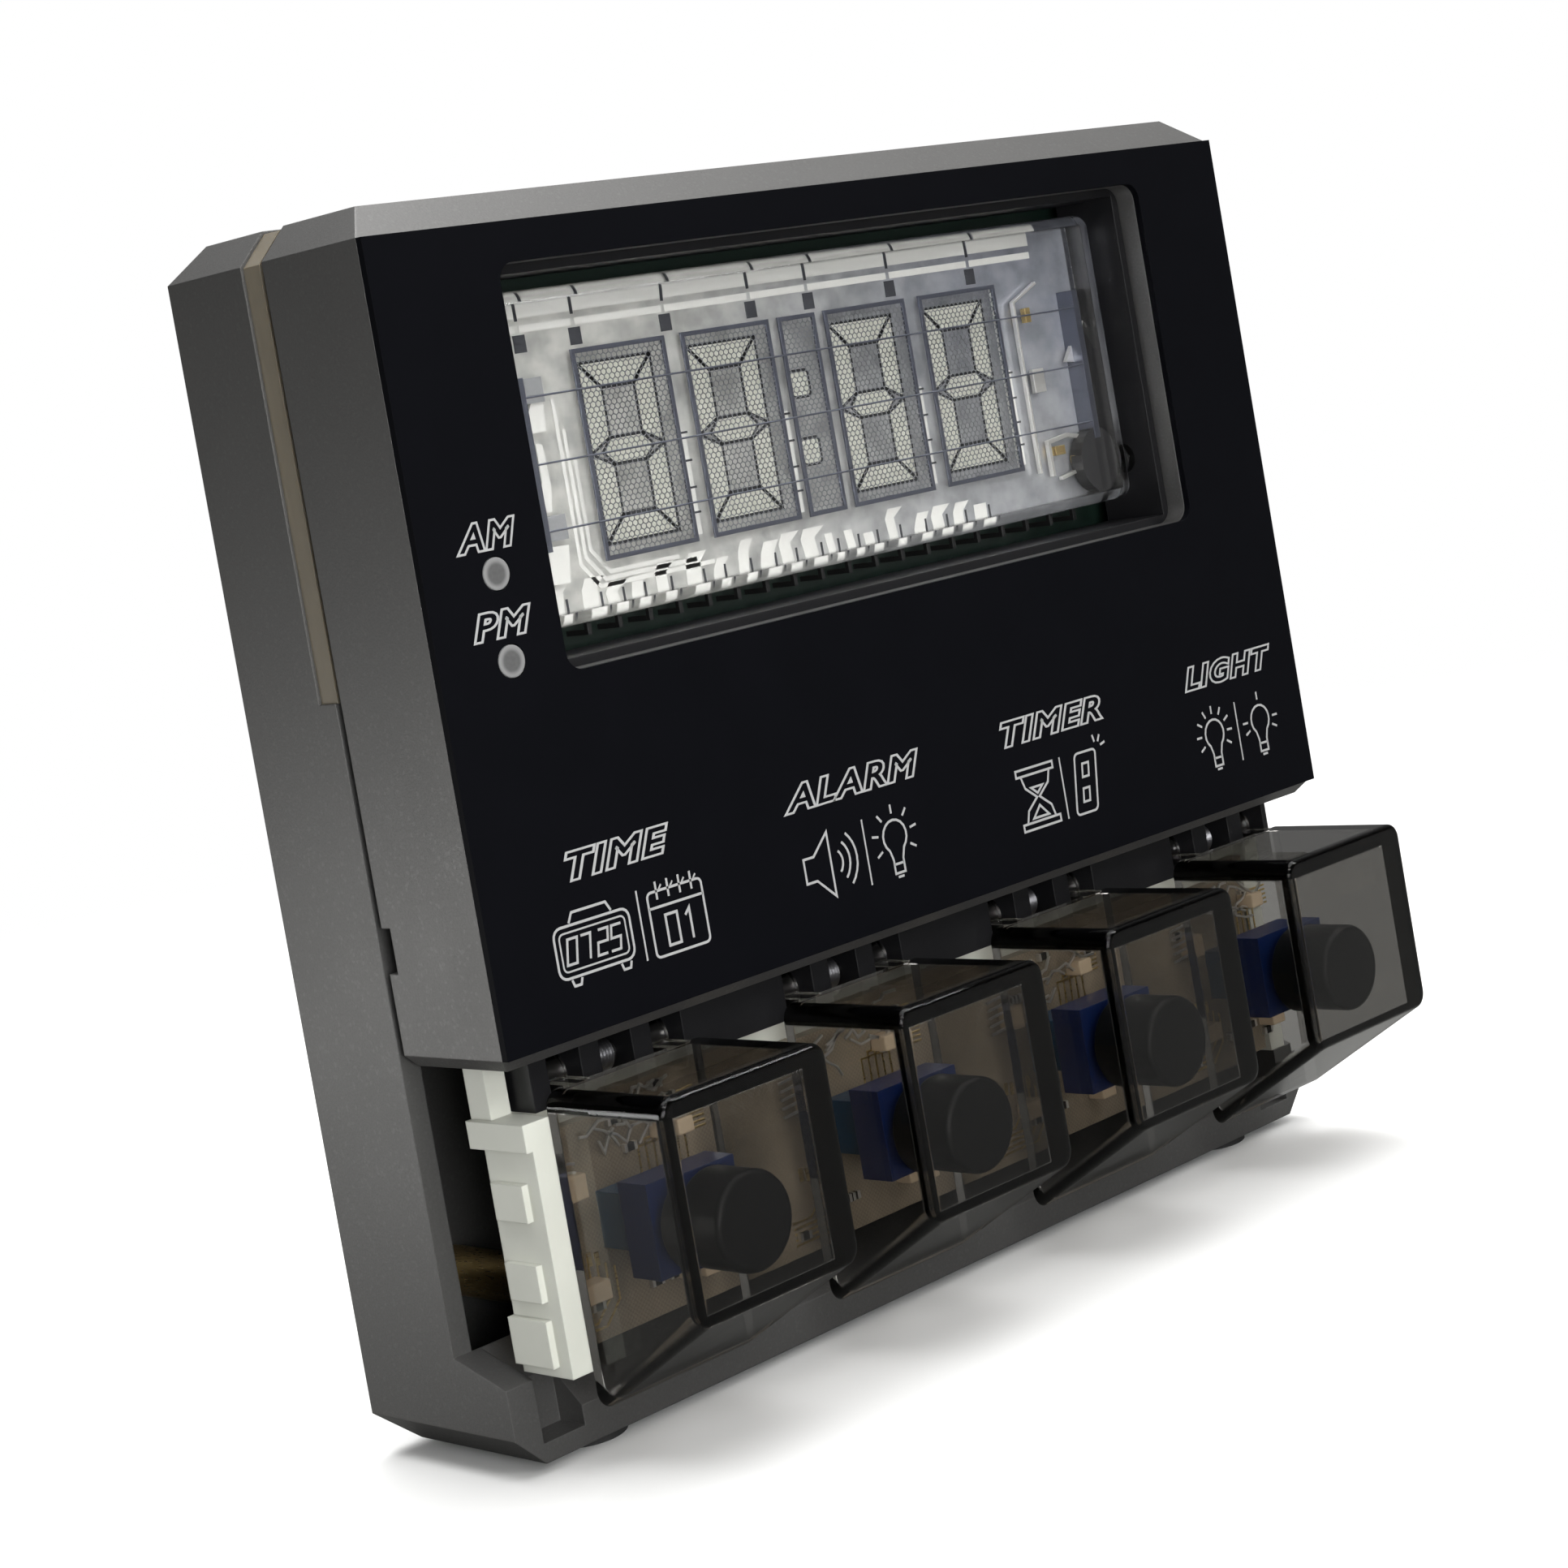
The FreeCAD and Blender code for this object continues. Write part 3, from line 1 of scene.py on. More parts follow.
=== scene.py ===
# %% [markdown]
# # A desk alarm clock with four clear punch keys
#
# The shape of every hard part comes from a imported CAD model, which is loaded here as a fixed frame.
# Blender adds what CAD leaves out: finishes, printing, the fine metalwork inside the display tube and the
# small parts on the boards. Everything is in metres, with the clock standing on z = 0 and facing the -y
# direction.

import json
import math
import random

import bmesh
import bpy
from mathutils import Matrix, Vector

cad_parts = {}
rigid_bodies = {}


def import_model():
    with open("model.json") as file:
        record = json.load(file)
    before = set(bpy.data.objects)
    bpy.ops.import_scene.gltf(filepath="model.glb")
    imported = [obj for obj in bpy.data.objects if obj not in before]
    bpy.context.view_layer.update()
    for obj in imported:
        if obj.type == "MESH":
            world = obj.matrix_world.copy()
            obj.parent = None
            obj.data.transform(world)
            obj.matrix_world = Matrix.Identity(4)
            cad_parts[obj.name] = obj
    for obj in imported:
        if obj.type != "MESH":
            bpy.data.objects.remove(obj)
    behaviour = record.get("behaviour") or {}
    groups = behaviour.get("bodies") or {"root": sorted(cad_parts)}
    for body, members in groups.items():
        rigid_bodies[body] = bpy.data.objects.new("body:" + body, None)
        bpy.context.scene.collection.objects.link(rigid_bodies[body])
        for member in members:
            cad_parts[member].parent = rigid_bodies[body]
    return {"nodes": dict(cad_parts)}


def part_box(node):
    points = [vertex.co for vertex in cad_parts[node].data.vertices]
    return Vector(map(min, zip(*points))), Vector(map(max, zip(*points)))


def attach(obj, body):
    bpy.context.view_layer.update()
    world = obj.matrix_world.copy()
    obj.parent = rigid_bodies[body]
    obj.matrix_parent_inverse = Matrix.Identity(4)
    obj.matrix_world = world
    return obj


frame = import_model()
nodes = frame["nodes"]
scene = bpy.context.scene
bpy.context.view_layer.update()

# %% [markdown]
# ## Units and the faces that pieces sit on
#
# Small parts are easier to think about in millimetres, so MM turns a number in millimetres into metres.
# The places that the new pieces sit on are read from the CAD nodes, never typed in again, so a change in
# CAD carries through.

# %% Units and reference faces
MM = 0.001
KEY_NAMES = ("time", "alarm", "timer", "light")


def low(node):
    """Lowest corner of a CAD node, in millimetres."""
    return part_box(node)[0] / MM


def high(node):
    """Highest corner of a CAD node, in millimetres."""
    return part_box(node)[1] / MM


PANEL_FRONT = low("front_panel").y
PLATE_FRONT = low("display_plate").y
BOARD_FRONT = low("key_board").y
print(f"panel front {PANEL_FRONT:.2f}, display plate {PLATE_FRONT:.2f}, key board {BOARD_FRONT:.2f} mm")

# %% [markdown]
# ## Camera
#
# The clock is seen from its front left corner, a little above the middle of the display, with the camera
# rolled by about ten degrees. A long lens keeps the edges nearly parallel. The three angles are turned
# into one rotation: the camera first looks along its heading, then tips down, then rolls about its own
# axis.

# %% Camera
CAMERA_PLACE = (-225.6, -232.5, 95.6)
CAMERA_HEADING = 43.29
CAMERA_TIP = -2.8
CAMERA_ROLL = 9.8
CAMERA_LENS = 71.97
CAMERA_SENSOR = 36.0
CAMERA_SHIFT = (-0.001, -0.159)

lens = bpy.data.cameras.new("camera_lens")
lens.lens = CAMERA_LENS
lens.sensor_width = CAMERA_SENSOR
lens.shift_x, lens.shift_y = CAMERA_SHIFT
lens.clip_start = 0.01
lens.clip_end = 50.0
camera = bpy.data.objects.new("camera", lens)
scene.collection.objects.link(camera)
turn = Matrix.Rotation(math.radians(-CAMERA_HEADING), 4, "Z")
tip = Matrix.Rotation(math.radians(90.0 + CAMERA_TIP), 4, "X")
roll = Matrix.Rotation(math.radians(-CAMERA_ROLL), 4, "Z")
camera.matrix_world = Matrix.Translation(Vector(CAMERA_PLACE) * MM) @ turn @ tip @ roll
scene.camera = camera
print("camera looks along", [round(v, 3) for v in (turn @ tip @ Vector((0, 0, -1)))])

# %% [markdown]
# ## Shader maths as plain arithmetic
#
# A procedural finish is mostly arithmetic on values that vary over the surface. Wiring Math nodes by hand
# hides that arithmetic, so a small class wraps one output socket and overloads the operators: `1 - mask *
# 0.5` then adds the Math nodes by itself. Every other node comes from one method, which takes the node's
# type, its settings and the values or links of its sockets.


# %% The shader classes
class Wire:
    """One output socket that can be used in arithmetic."""

    def __init__(self, finish, socket):
        self.finish = finish
        self.socket = socket

    def maths(self, operation, first, second):
        return self.finish.node("ShaderNodeMath", {"operation": operation}, {0: first, 1: second})

    def __add__(self, other):
        return self.maths("ADD", self, other)

    __radd__ = __add__

    def __mul__(self, other):
        return self.maths("MULTIPLY", self, other)

    __rmul__ = __mul__

    def __sub__(self, other):
        return self.maths("SUBTRACT", self, other)

    def __rsub__(self, other):
        return self.maths("SUBTRACT", other, self)

    def __gt__(self, other):
        return self.maths("GREATER_THAN", self, other)

    def __pow__(self, other):
        return self.maths("POWER", self, other)


class Finish:
    """A node tree, and the few ways of adding to it that the finishes below share."""

    def __init__(self, tree):
        self.tree = tree
        tree.nodes.clear()

    def node(self, kind, settings=None, values=None, output=0):
        made = self.tree.nodes.new(kind)
        for key, value in (settings or {}).items():
            setattr(made, key, value)
        for key, value in (values or {}).items():
            if isinstance(value, Wire):
                self.tree.links.new(value.socket, made.inputs[key])
            else:
                made.inputs[key].default_value = value
        return Wire(self, made.outputs[output])

    def place(self):
        """Where a point is on its piece, in metres."""
        return self.node("ShaderNodeTexCoord", output="Object")

    def axes(self):
        """The three coordinates of that place, in metres."""
        return [self.node("ShaderNodeSeparateXYZ", values={0: self.place()}, output=i) for i in range(3)]

    def noise(self, size_mm, detail=2.0, stretch=(1.0, 1.0, 1.0)):
        """Cloudy noise from 0 to 1, with blobs of about size_mm."""
        spread = self.node("ShaderNodeMapping", values={0: self.place(), 3: stretch})
        values = {"Vector": spread, "Scale": 1.0 / (size_mm * MM), "Detail": detail}
        return self.node("ShaderNodeTexNoise", values=values)

    def grains(self, size_mm):
        """Cells of about size_mm, each with a random colour."""
        values = {"Vector": self.place(), "Scale": 1.0 / (size_mm * MM)}
        return self.node("ShaderNodeTexVoronoi", values=values, output="Color")

    def step(self, value, start, end):
        """0 below start, 1 above end, and a smooth ramp between them."""
        settings = {"interpolation_type": "SMOOTHSTEP"}
        values = {"Value": value, "From Min": start, "From Max": end}
        return self.node("ShaderNodeMapRange", settings, values)

    def blend(self, share, first, second):
        """Colour first where share is 0, and colour second where it is 1."""
        return self.node("ShaderNodeMix", {"data_type": "RGBA"}, {0: share, 6: first, 7: second}, output=2)

    def bump(self, height, depth_mm, strength=1.0, over=None):
        values = {"Height": height, "Distance": depth_mm * MM, "Strength": strength}
        if over is not None:
            values["Normal"] = over
        return self.node("ShaderNodeBump", values=values)

    def soft_edge(self, radius_mm):
        """A normal that rounds sharp edges by radius_mm, so that they catch the light."""
        return self.node("ShaderNodeBevel", {"samples": 4}, {"Radius": radius_mm * MM})

    def show(self, surface, volume=None):
        end = self.node_end()
        self.tree.links.new(surface.socket, end.inputs["Surface"])
        if volume is not None:
            self.tree.links.new(volume.socket, end.inputs["Volume"])

    def show_plain(self, values):
        """Shows a single principled surface."""
        self.show(self.node("ShaderNodeBsdfPrincipled", values=values))

    def node_end(self):
        kind = "ShaderNodeOutputWorld" if self.tree == world.node_tree else "ShaderNodeOutputMaterial"
        return self.tree.nodes.new(kind)


def grey(level):
    return (level, level, level, 1.0)


def colour(red, green, blue):
    return (red, green, blue, 1.0)


materials = {}


def finish(name):
    """A new named material, and the Finish that fills it."""
    made = bpy.data.materials.new(name)
    made.use_nodes = True
    materials[name] = made
    return Finish(made.node_tree)


world = bpy.data.worlds.new("studio")
world.use_nodes = True
scene.world = world
print("shader classes ready")

# %% [markdown]
# ## Studio
#
# The camera sees a pale floor that fades with distance into an equally pale backdrop, so no horizon
# shows. Metal and clear plastic mirror something else: a dim room that grows a little brighter overhead
# and behind, and a dull floor, because a bright one fills the clear keys with haze. A broad sun lights
# the floor evenly. Five area lights draw the highlights: two from the front, one from overhead, and two
# low ones for the left side and the sill.

# %% Room, floor and lights
ROOM_DIM = 0.02
ROOM_BRIGHT = 0.16
ROOM_TOP = 0.35
BACKGROUND = 1.0
FLOOR_SEEN = (0.84, 0.84, 0.83)
FLOOR_MIRRORED = (0.16, 0.16, 0.155)
FLOOR_FADE = (0.10, 0.45)
FLOOR_RADIUS = 9.0
FLOOR_SIDES = 96
scene.view_settings.view_transform = "Standard"

studio = Finish(world.node_tree)
across, along, upward = [
    studio.node(
        "ShaderNodeSeparateXYZ",
        values={0: studio.node("ShaderNodeTexCoord", output="Generated")},
        output=i,
    )
    for i in range(3)
]
behind = studio.step(across * 0.75 + along * 0.65, -0.1, 1.0)
overhead = studio.step(upward, 0.35, 1.0)
level = behind * (ROOM_BRIGHT - ROOM_DIM) + overhead * ROOM_TOP + ROOM_DIM
room = studio.node("ShaderNodeBackground", values={"Color": grey(1.0), "Strength": level})
backdrop = studio.node("ShaderNodeBackground", values={"Color": grey(1.0), "Strength": BACKGROUND})
seen = studio.node("ShaderNodeLightPath", output="Is Camera Ray")
studio.show(studio.node("ShaderNodeMixShader", values={0: seen, 1: room, 2: backdrop}))

pale = finish("studio_floor")
dust = pale.noise(220.0, 3.0)
floor_x, floor_y, _ = pale.axes()
away = (floor_x * floor_x + floor_y * floor_y) ** 0.5
lit_values = {"Color": colour(*FLOOR_SEEN), "Roughness": dust * 0.1}
lit_floor = pale.node("ShaderNodeBsdfDiffuse", values=lit_values)
far_floor = pale.node("ShaderNodeEmission", values={"Color": grey(1.0), "Strength": BACKGROUND})
fade = pale.step(away, *FLOOR_FADE)
seen_floor = pale.node("ShaderNodeMixShader", values={0: fade, 1: lit_floor, 2: far_floor})
dull_floor = pale.node("ShaderNodeBsdfDiffuse", values={"Color": colour(*FLOOR_MIRRORED)})
straight = pale.node("ShaderNodeLightPath", output="Is Camera Ray")
pale.show(pale.node("ShaderNodeMixShader", values={0: straight, 1: dull_floor, 2: seen_floor}))

disc = bmesh.new()
bmesh.ops.create_circle(disc, cap_ends=True, radius=FLOOR_RADIUS, segments=FLOOR_SIDES)
floor_mesh = bpy.data.meshes.new("studio_floor")
disc.to_mesh(floor_mesh)
disc.free()
floor_mesh.materials.append(materials["studio_floor"])
floor = bpy.data.objects.new("studio_floor", floor_mesh)
scene.collection.objects.link(floor)


def add_light(name, kind, place, aim, watts, size):
    """A light at place, turned towards aim. Size is a width for a lamp and an angle for the sun."""
    lamp = bpy.data.lights.new(name, kind)
    lamp.energy = watts
    if kind == "AREA":
        lamp.shape = "DISK"
        lamp.size = size
    else:
        lamp.angle = size
    holder = bpy.data.objects.new(name, lamp)
    holder.location = place
    holder.rotation_euler = (Vector(aim) - Vector(place)).to_track_quat("-Z", "Y").to_euler()
    scene.collection.objects.link(holder)


middle = (0.0, 0.0, 0.06)
add_light("sun_soft", "SUN", (0.1, -0.15, 1.2), middle, 2.9, math.radians(60))
add_light("overhead_soft", "AREA", (0.15, 0.30, 0.8), middle, 5.0, 0.5)
add_light("front_soft", "AREA", (-0.20, -0.90, 0.60), middle, 3.2, 0.30)
add_light("right_soft", "AREA", (0.60, -0.65, 0.60), middle, 3.0, 0.30)
add_light("left_rear_soft", "AREA", (-0.19, 0.12, 0.005), (-0.06, 0.0, 0.02), 0.10, 0.08)
add_light("low_front_soft", "AREA", (-0.20, -0.36, 0.07), (0.0, -0.01, 0.01), 1.3, 0.20)

# %% [markdown]
# ## Finish: bead-blasted grey anodised aluminium
#
# Both shells are cast and milled aluminium, blasted with fine glass beads and dyed grey. Up close that is
# a metal with tiny dents that glint one by one. It could be painted as a speckle only, but real dents
# tilt the surface, so fine noise drives the bump. A sparse set of grains is slightly smoother and carries
# a painted glint: a brighter base colour that stands in for the light those dents catch.


# %% Anodised aluminium
def anodised():
    f = finish("anodised_grey")
    grain = f.noise(0.22, 3.0)
    cloud = f.noise(9.0, 2.0)
    spark_share = f.node("ShaderNodeSeparateXYZ", values={0: f.grains(0.3)}, output=0)
    # painted glint: a sparse set of grains gets a brighter base colour, and a little less roughness
    painted_glint_grains = spark_share > 0.93
    body = f.blend(grain, colour(0.10, 0.099, 0.096), colour(0.15, 0.148, 0.145))
    body = f.blend(cloud * 0.4, body, colour(0.12, 0.119, 0.116))
    body = f.blend(painted_glint_grains * 0.04, body, colour(0.35, 0.35, 0.34))
    values = {
        "Base Color": body,
        "Metallic": 0.7,
        "Roughness": 0.45 - painted_glint_grains * 0.03 + cloud * 0.06,
        "Normal": f.bump(grain, 0.02, 0.6, f.soft_edge(0.18)),
    }
    f.show_plain(values)


anodised()
print("grey shells:", list(materials)[-1])

# %% [markdown]
# ## Finishes: black panel and moulded plastics
#
# The panel is a smooth, very dark sheet with almost no shine, so that the printing stands out. The recess
# behind its window, the frame between the shells and the rail are ordinary black plastic: a little
# lighter, with a faint moulded grain and edges that catch the light. The same function makes the other
# moulded parts. Each row of the table gives the two colours, the roughness, the size of the grain, the
# radius of the soft edges and the shine.


# %% Moulded plastics
def plain_plastic(name, base, second, roughness, grain_mm, edge_mm, shine, depth_mm=0.01):
    """Moulded plastic: two close colours in slow clouds, a fine grain and soft edges."""
    f = finish(name)
    cloud = f.noise(6.0, 3.0)
    grain = f.noise(grain_mm, 2.0)
    values = {
        "Base Color": f.blend(cloud, base, second),
        "Roughness": grain * 0.12 + (roughness - 0.06),
        "Specular IOR Level": shine,
        "Normal": f.bump(grain, depth_mm, 0.5, f.soft_edge(edge_mm)),
    }
    f.show_plain(values)


PANEL_BASE = colour(0.0022, 0.0024, 0.0034)
PANEL_SECOND = colour(0.0030, 0.0032, 0.0046)
plain_plastic("panel_black", PANEL_BASE, PANEL_SECOND, 0.5, 0.1, 0.1, shine=0.04, depth_mm=0.002)
MOULDED = {
    "plastic_black": ((0.004, 0.004, 0.005), (0.008, 0.008, 0.009), 0.45, 0.25, 0.15, 0.3),
    "plunger_black": ((0.002, 0.0024, 0.003), (0.004, 0.0046, 0.0054), 0.4, 0.3, 0.2, 0.25),
    "chip_black": ((0.010, 0.010, 0.010), (0.016, 0.016, 0.016), 0.55, 0.12, 0.1, 0.4),
    "rubber_black": ((0.018, 0.018, 0.018), (0.03, 0.03, 0.03), 0.8, 0.3, 0.2, 0.3),
    "switch_navy": ((0.003, 0.011, 0.060), (0.005, 0.017, 0.085), 0.34, 0.3, 0.15, 0.5),
    "switch_foot_blue": ((0.006, 0.05, 0.12), (0.010, 0.07, 0.16), 0.36, 0.3, 0.15, 0.5),
    "bracket_white": ((0.55, 0.56, 0.50), (0.64, 0.65, 0.585), 0.5, 0.35, 0.2, 0.4),
    "ribbon_amber": ((0.42, 0.17, 0.03), (0.50, 0.22, 0.05), 0.35, 0.5, 0.1, 0.5),
    "ferrite_dark": ((0.03, 0.028, 0.027), (0.05, 0.047, 0.045), 0.7, 0.2, 0.1, 0.3),
    "part_cream": ((0.66, 0.52, 0.36), (0.78, 0.64, 0.46), 0.42, 0.3, 0.15, 0.5),
}
for plastic, (first, second, roughness, grain_mm, edge_mm, shine) in MOULDED.items():
    plain_plastic(plastic, colour(*first), colour(*second), roughness, grain_mm, edge_mm, shine)
print("finishes so far:", len(materials))

# %% [markdown]
# ## Finish: frosted light guides
#
# The AM and PM lights are two frosted pins. Each carries a painted highlight, a lighter ring at its edge
# round a darker flat middle, set by the distance from the nearer of the two axes, which come from the CAD
# nodes.


# %% Frosted pins
def light_guides():
    f = finish("indicator_frosted")
    x, _, z = f.axes()
    spots = [(low(n) + high(n)) / 2.0 for n in ("am_light", "pm_light")]
    across_pin = x - spots[0].x * MM
    reach = [(across_pin * across_pin + (z - spot.z * MM) * (z - spot.z * MM)) ** 0.5 for spot in spots]
    nearest = f.node("ShaderNodeMath", {"operation": "MINIMUM"}, {0: reach[0], 1: reach[1]})
    # painted highlight: a lighter ring round the edge of each pin
    painted_ring_highlight = f.step(nearest, 0.8 * MM, 1.3 * MM)
    frost = f.noise(0.4, 2.0)
    shade = f.blend(frost, colour(0.075, 0.075, 0.075), colour(0.11, 0.11, 0.11))
    values = {
        "Base Color": f.blend(painted_ring_highlight, shade, colour(0.22, 0.22, 0.22)),
        "Roughness": frost * 0.1 + 0.4,
        "Specular IOR Level": 0.35,
        "Normal": f.bump(frost, 0.01, 0.4, f.soft_edge(0.25)),
    }
    f.show_plain(values)


light_guides()
print("light guides:", list(materials)[-1])

# %% [markdown]
# ## Finish: tan light strip
#
# The strip between the shells spreads light from inside, so it is a milky tan plastic. It lets some light
# through itself, which subsurface scattering gives without modelling the lamps behind it.


# %% Tan strip
STRIP_DARK = colour(0.13, 0.112, 0.083)
STRIP_LIGHT = colour(0.20, 0.175, 0.13)


def tan_strip():
    f = finish("strip_tan")
    cloud = f.noise(4.0, 3.0)
    streak = f.noise(0.6, 2.0, (1.0, 1.0, 0.15))
    values = {
        "Base Color": f.blend(cloud * 0.6 + streak * 0.4, STRIP_DARK, STRIP_LIGHT),
        "Roughness": streak * 0.15 + 0.38,
        "Subsurface Weight": 0.25,
        "Subsurface Radius": (0.6, 0.4, 0.2),
        "Subsurface Scale": 0.001,
        "Normal": f.bump(streak, 0.01, 0.4, f.soft_edge(0.12)),
    }
    f.show_plain(values)


tan_strip()
print("light strip:", list(materials)[-1])

# %% [markdown]
# ## Finish: clear smoky keys
#
# Each key is a thick-walled cap of clear plastic with a smoke tint. Tinting the surface would make every
# wall look the same, but a real wall is dark where it is looked at along its length. So the surface is
# clear glass, and the tint is an absorption inside it: the longer the way through, the darker. Rays from
# lamps go straight through, so that the switches behind a key stay lit and the picture stays clean. The
# keys mirror less than bare glass does, which their shine turns down.


# %% See-through finishes
def clear_solid(name, tint, density, roughness, ior, edge_mm, lamp_tint, smear=0.0, shine=1.0):
    """Glass or clear plastic whose tint comes from its thickness."""
    f = finish(name)
    cloud = f.noise(5.0, 3.0)
    values = {
        "Base Color": grey(1.0),
        "Transmission Weight": 1.0,
        "Specular Tint": grey(shine),
        "Roughness": cloud * smear + roughness,
        "IOR": ior,
        "Normal": f.bump(cloud, 0.05, 0.12, f.soft_edge(edge_mm)),
    }
    glass = f.node("ShaderNodeBsdfPrincipled", values=values)
    lamps = f.node("ShaderNodeBsdfTransparent", values={"Color": lamp_tint})
    shadow = f.node("ShaderNodeLightPath", output="Is Shadow Ray")
    depth = None
    if density:
        depth = f.node("ShaderNodeVolumeAbsorption", values={"Color": tint, "Density": density})
    f.show(f.node("ShaderNodeMixShader", values={0: shadow, 1: glass, 2: lamps}), depth)


SMOKE_TINT = colour(0.28, 0.26, 0.23)
SMOKE_DENSITY = 360.0
ACRYLIC_IOR = 1.49
GLASS_IOR = 1.45
clear_solid("key_smoke", SMOKE_TINT, SMOKE_DENSITY, 0.0, ACRYLIC_IOR, 0.3, grey(0.90), shine=0.45)
clear_solid("tube_clear", colour(0.85, 0.90, 0.90), 0.0, 0.01, GLASS_IOR, 0.3, grey(0.97), smear=0.02)
print("see-through finishes:", [n for n in materials if "smoke" in n or "clear" in n])

# %% [markdown]
# ## Finishes: metals
#
# The small metal parts differ in colour and in how they were worked. One function covers them: a base
# colour, a roughness, and fine scratches drawn out along one direction, which is what drawing, grinding
# or turning leaves.


# %% Metals
def metal(name, base, roughness, scratch_mm=0.15, stretch=(0.1, 1.0, 1.0)):
    """Bare metal with fine scratches along one direction."""
    f = finish(name)
    scratch = f.noise(scratch_mm, 2.0, stretch)
    cloud = f.noise(3.0, 2.0)
    darker = colour(*(0.72 * v for v in base[:3]))
    values = {
        "Base Color": f.blend(cloud * 0.5 + scratch * 0.5, base, darker),
        "Metallic": 1.0,
        "Roughness": scratch * 0.2 + (roughness - 0.1),
        "Normal": f.bump(scratch, 0.004, 0.4, f.soft_edge(0.08)),
    }
    f.show_plain(values)


metal("steel_ground", colour(0.58, 0.58, 0.58), 0.32)
metal("steel_spring", colour(0.20, 0.20, 0.21), 0.35, 0.1)
metal("brass_turned", colour(0.72, 0.52, 0.22), 0.3, 0.12, (1.0, 0.1, 1.0))
metal("tin_bright", colour(0.88, 0.87, 0.83), 0.4)
metal("gold_pad", colour(0.83, 0.62, 0.28), 0.3)
metal("grid_steel", colour(0.16, 0.17, 0.21), 0.4, 0.08)
metal("mesh_steel", colour(0.33, 0.34, 0.36), 0.36, 0.08)
metal("steel_dark", colour(0.09, 0.09, 0.09), 0.45, 0.1)
metal("lead_dull", colour(0.05, 0.05, 0.05), 0.6)
print("finishes so far:", len(materials))

# %% [markdown]
# ## Finishes: boards
#
# A circuit board is a glass-cloth laminate under a thin lacquer. Two crossed waves give the cloth, a coat
# gives the lacquer, and slow noise gives the uneven tint. The key board is bare tan laminate; the main
# board is green-black.


# %% Boards
CLOTH_PITCH = 0.5


def board(name, base, second):
    """Laminate: a cloth of crossed waves and slow clouds under a clear coat."""
    f = finish(name)
    x, _, z = f.axes()
    pitch = 2.0 * math.pi / (CLOTH_PITCH * MM)
    warp = f.node("ShaderNodeMath", {"operation": "SINE"}, {0: x * pitch})
    weft = f.node("ShaderNodeMath", {"operation": "SINE"}, {0: z * pitch})
    weave = warp * weft * 0.5 + 0.5
    cloud = f.noise(7.0, 3.0)
    values = {
        "Base Color": f.blend(f.step(cloud, 0.2, 0.8) * 0.6 + weave * 0.4, base, second),
        "Roughness": 0.42 + cloud * 0.1,
        "Coat Weight": 0.35,
        "Coat Roughness": 0.15,
        "Normal": f.bump(weave, 0.01, 0.35, f.soft_edge(0.08)),
    }
    f.show_plain(values)


board("board_tan", colour(0.17, 0.138, 0.098), colour(0.38, 0.315, 0.23))
board("board_green", colour(0.002, 0.009, 0.006), colour(0.004, 0.014, 0.009))
print("boards done")

# %% [markdown]
# ## Finishes inside the display tube
#
# The plate behind the digits is glass coated with bright metal film and printed lines, and it is the
# lightest thing on the clock, partly through painted reflection in its colour: brighter and warmer at the
# left, darker and cooler at the right and towards the top right, with brighter painted highlight patches.
# The lit segments are phosphor, a matte cream powder, and the seams round them are dark.


# %% Tube finishes
def plate_film():
    f = finish("plate_film")
    x, _, z = f.axes()
    # painted reflection: the share of the darker, cooler colour grows to the right and, at the right,
    # towards the top
    side = f.step(x, -0.030, 0.034)
    rise = f.step(z, 0.082, 0.104)
    cloud = f.noise(3.5, 4.0)
    streak = f.noise(1.2, 3.0, (0.25, 1.0, 1.0))
    # painted highlight patches: cloudy patches of brighter film colour on both sides
    painted_highlight_patch = f.step(cloud, 0.22, 0.72)
    painted_reflection_left = f.blend(painted_highlight_patch, colour(0.36, 0.36, 0.335), colour(0.62, 0.62, 0.575))
    painted_reflection_right = f.blend(painted_highlight_patch, colour(0.17, 0.18, 0.21), colour(0.29, 0.30, 0.34))
    body = f.blend(side * (rise * 0.35 + 0.65), painted_reflection_left, painted_reflection_right)
    body = f.blend(streak * 0.3, body, colour(0.14, 0.15, 0.17))
    values = {
        "Base Color": body,
        "Metallic": 0.5,
        "Roughness": cloud * 0.25 + 0.22,
        "Normal": f.bump(streak + cloud, 0.05, 0.35),
    }
    f.show_plain(values)


def print_ink(name, base, roughness, speck_mm=0.12, shift=0.25):
    """Ink, enamel or phosphor: a matte colour broken up by fine specks."""
    f = finish(name)
    speck = f.noise(speck_mm, 3.0)
    worn = f.noise(1.5, 2.0)
    darker = colour(*((1.0 - shift) * v for v in base[:3]))
    values = {
        "Base Color": f.blend(speck * 0.6 + worn * 0.4, base, darker),
        "Roughness": speck * 0.2 + (roughness - 0.1),
        "Normal": f.bump(speck, 0.01, 0.4),
    }
    f.show_plain(values)


plate_film()
print_ink("ink_pale", colour(0.42, 0.42, 0.42), 0.6)
print_ink("phosphor", colour(0.62, 0.63, 0.55), 0.7, 0.2, 0.3)
print_ink("film_white", colour(0.56, 0.56, 0.53), 0.45, 0.3, 0.12)
print_ink("film_grey", colour(0.22, 0.225, 0.23), 0.5, 0.3, 0.3)
print_ink("film_dark", colour(0.020, 0.022, 0.028), 0.5, 0.2, 0.4)
print_ink("film_green", colour(0.45, 0.50, 0.14), 0.5, 0.4, 0.25)
print_ink("getter_black", colour(0.008, 0.008, 0.009), 0.35, 0.3, 0.3)
print("finishes so far:", len(materials))

# %% [markdown]
# ## Give the CAD nodes their finishes
#
# Every CAD node arrives with a plain colour. Each one gets its real finish here, through its own material
# slot, so that the shape from CAD stays untouched.

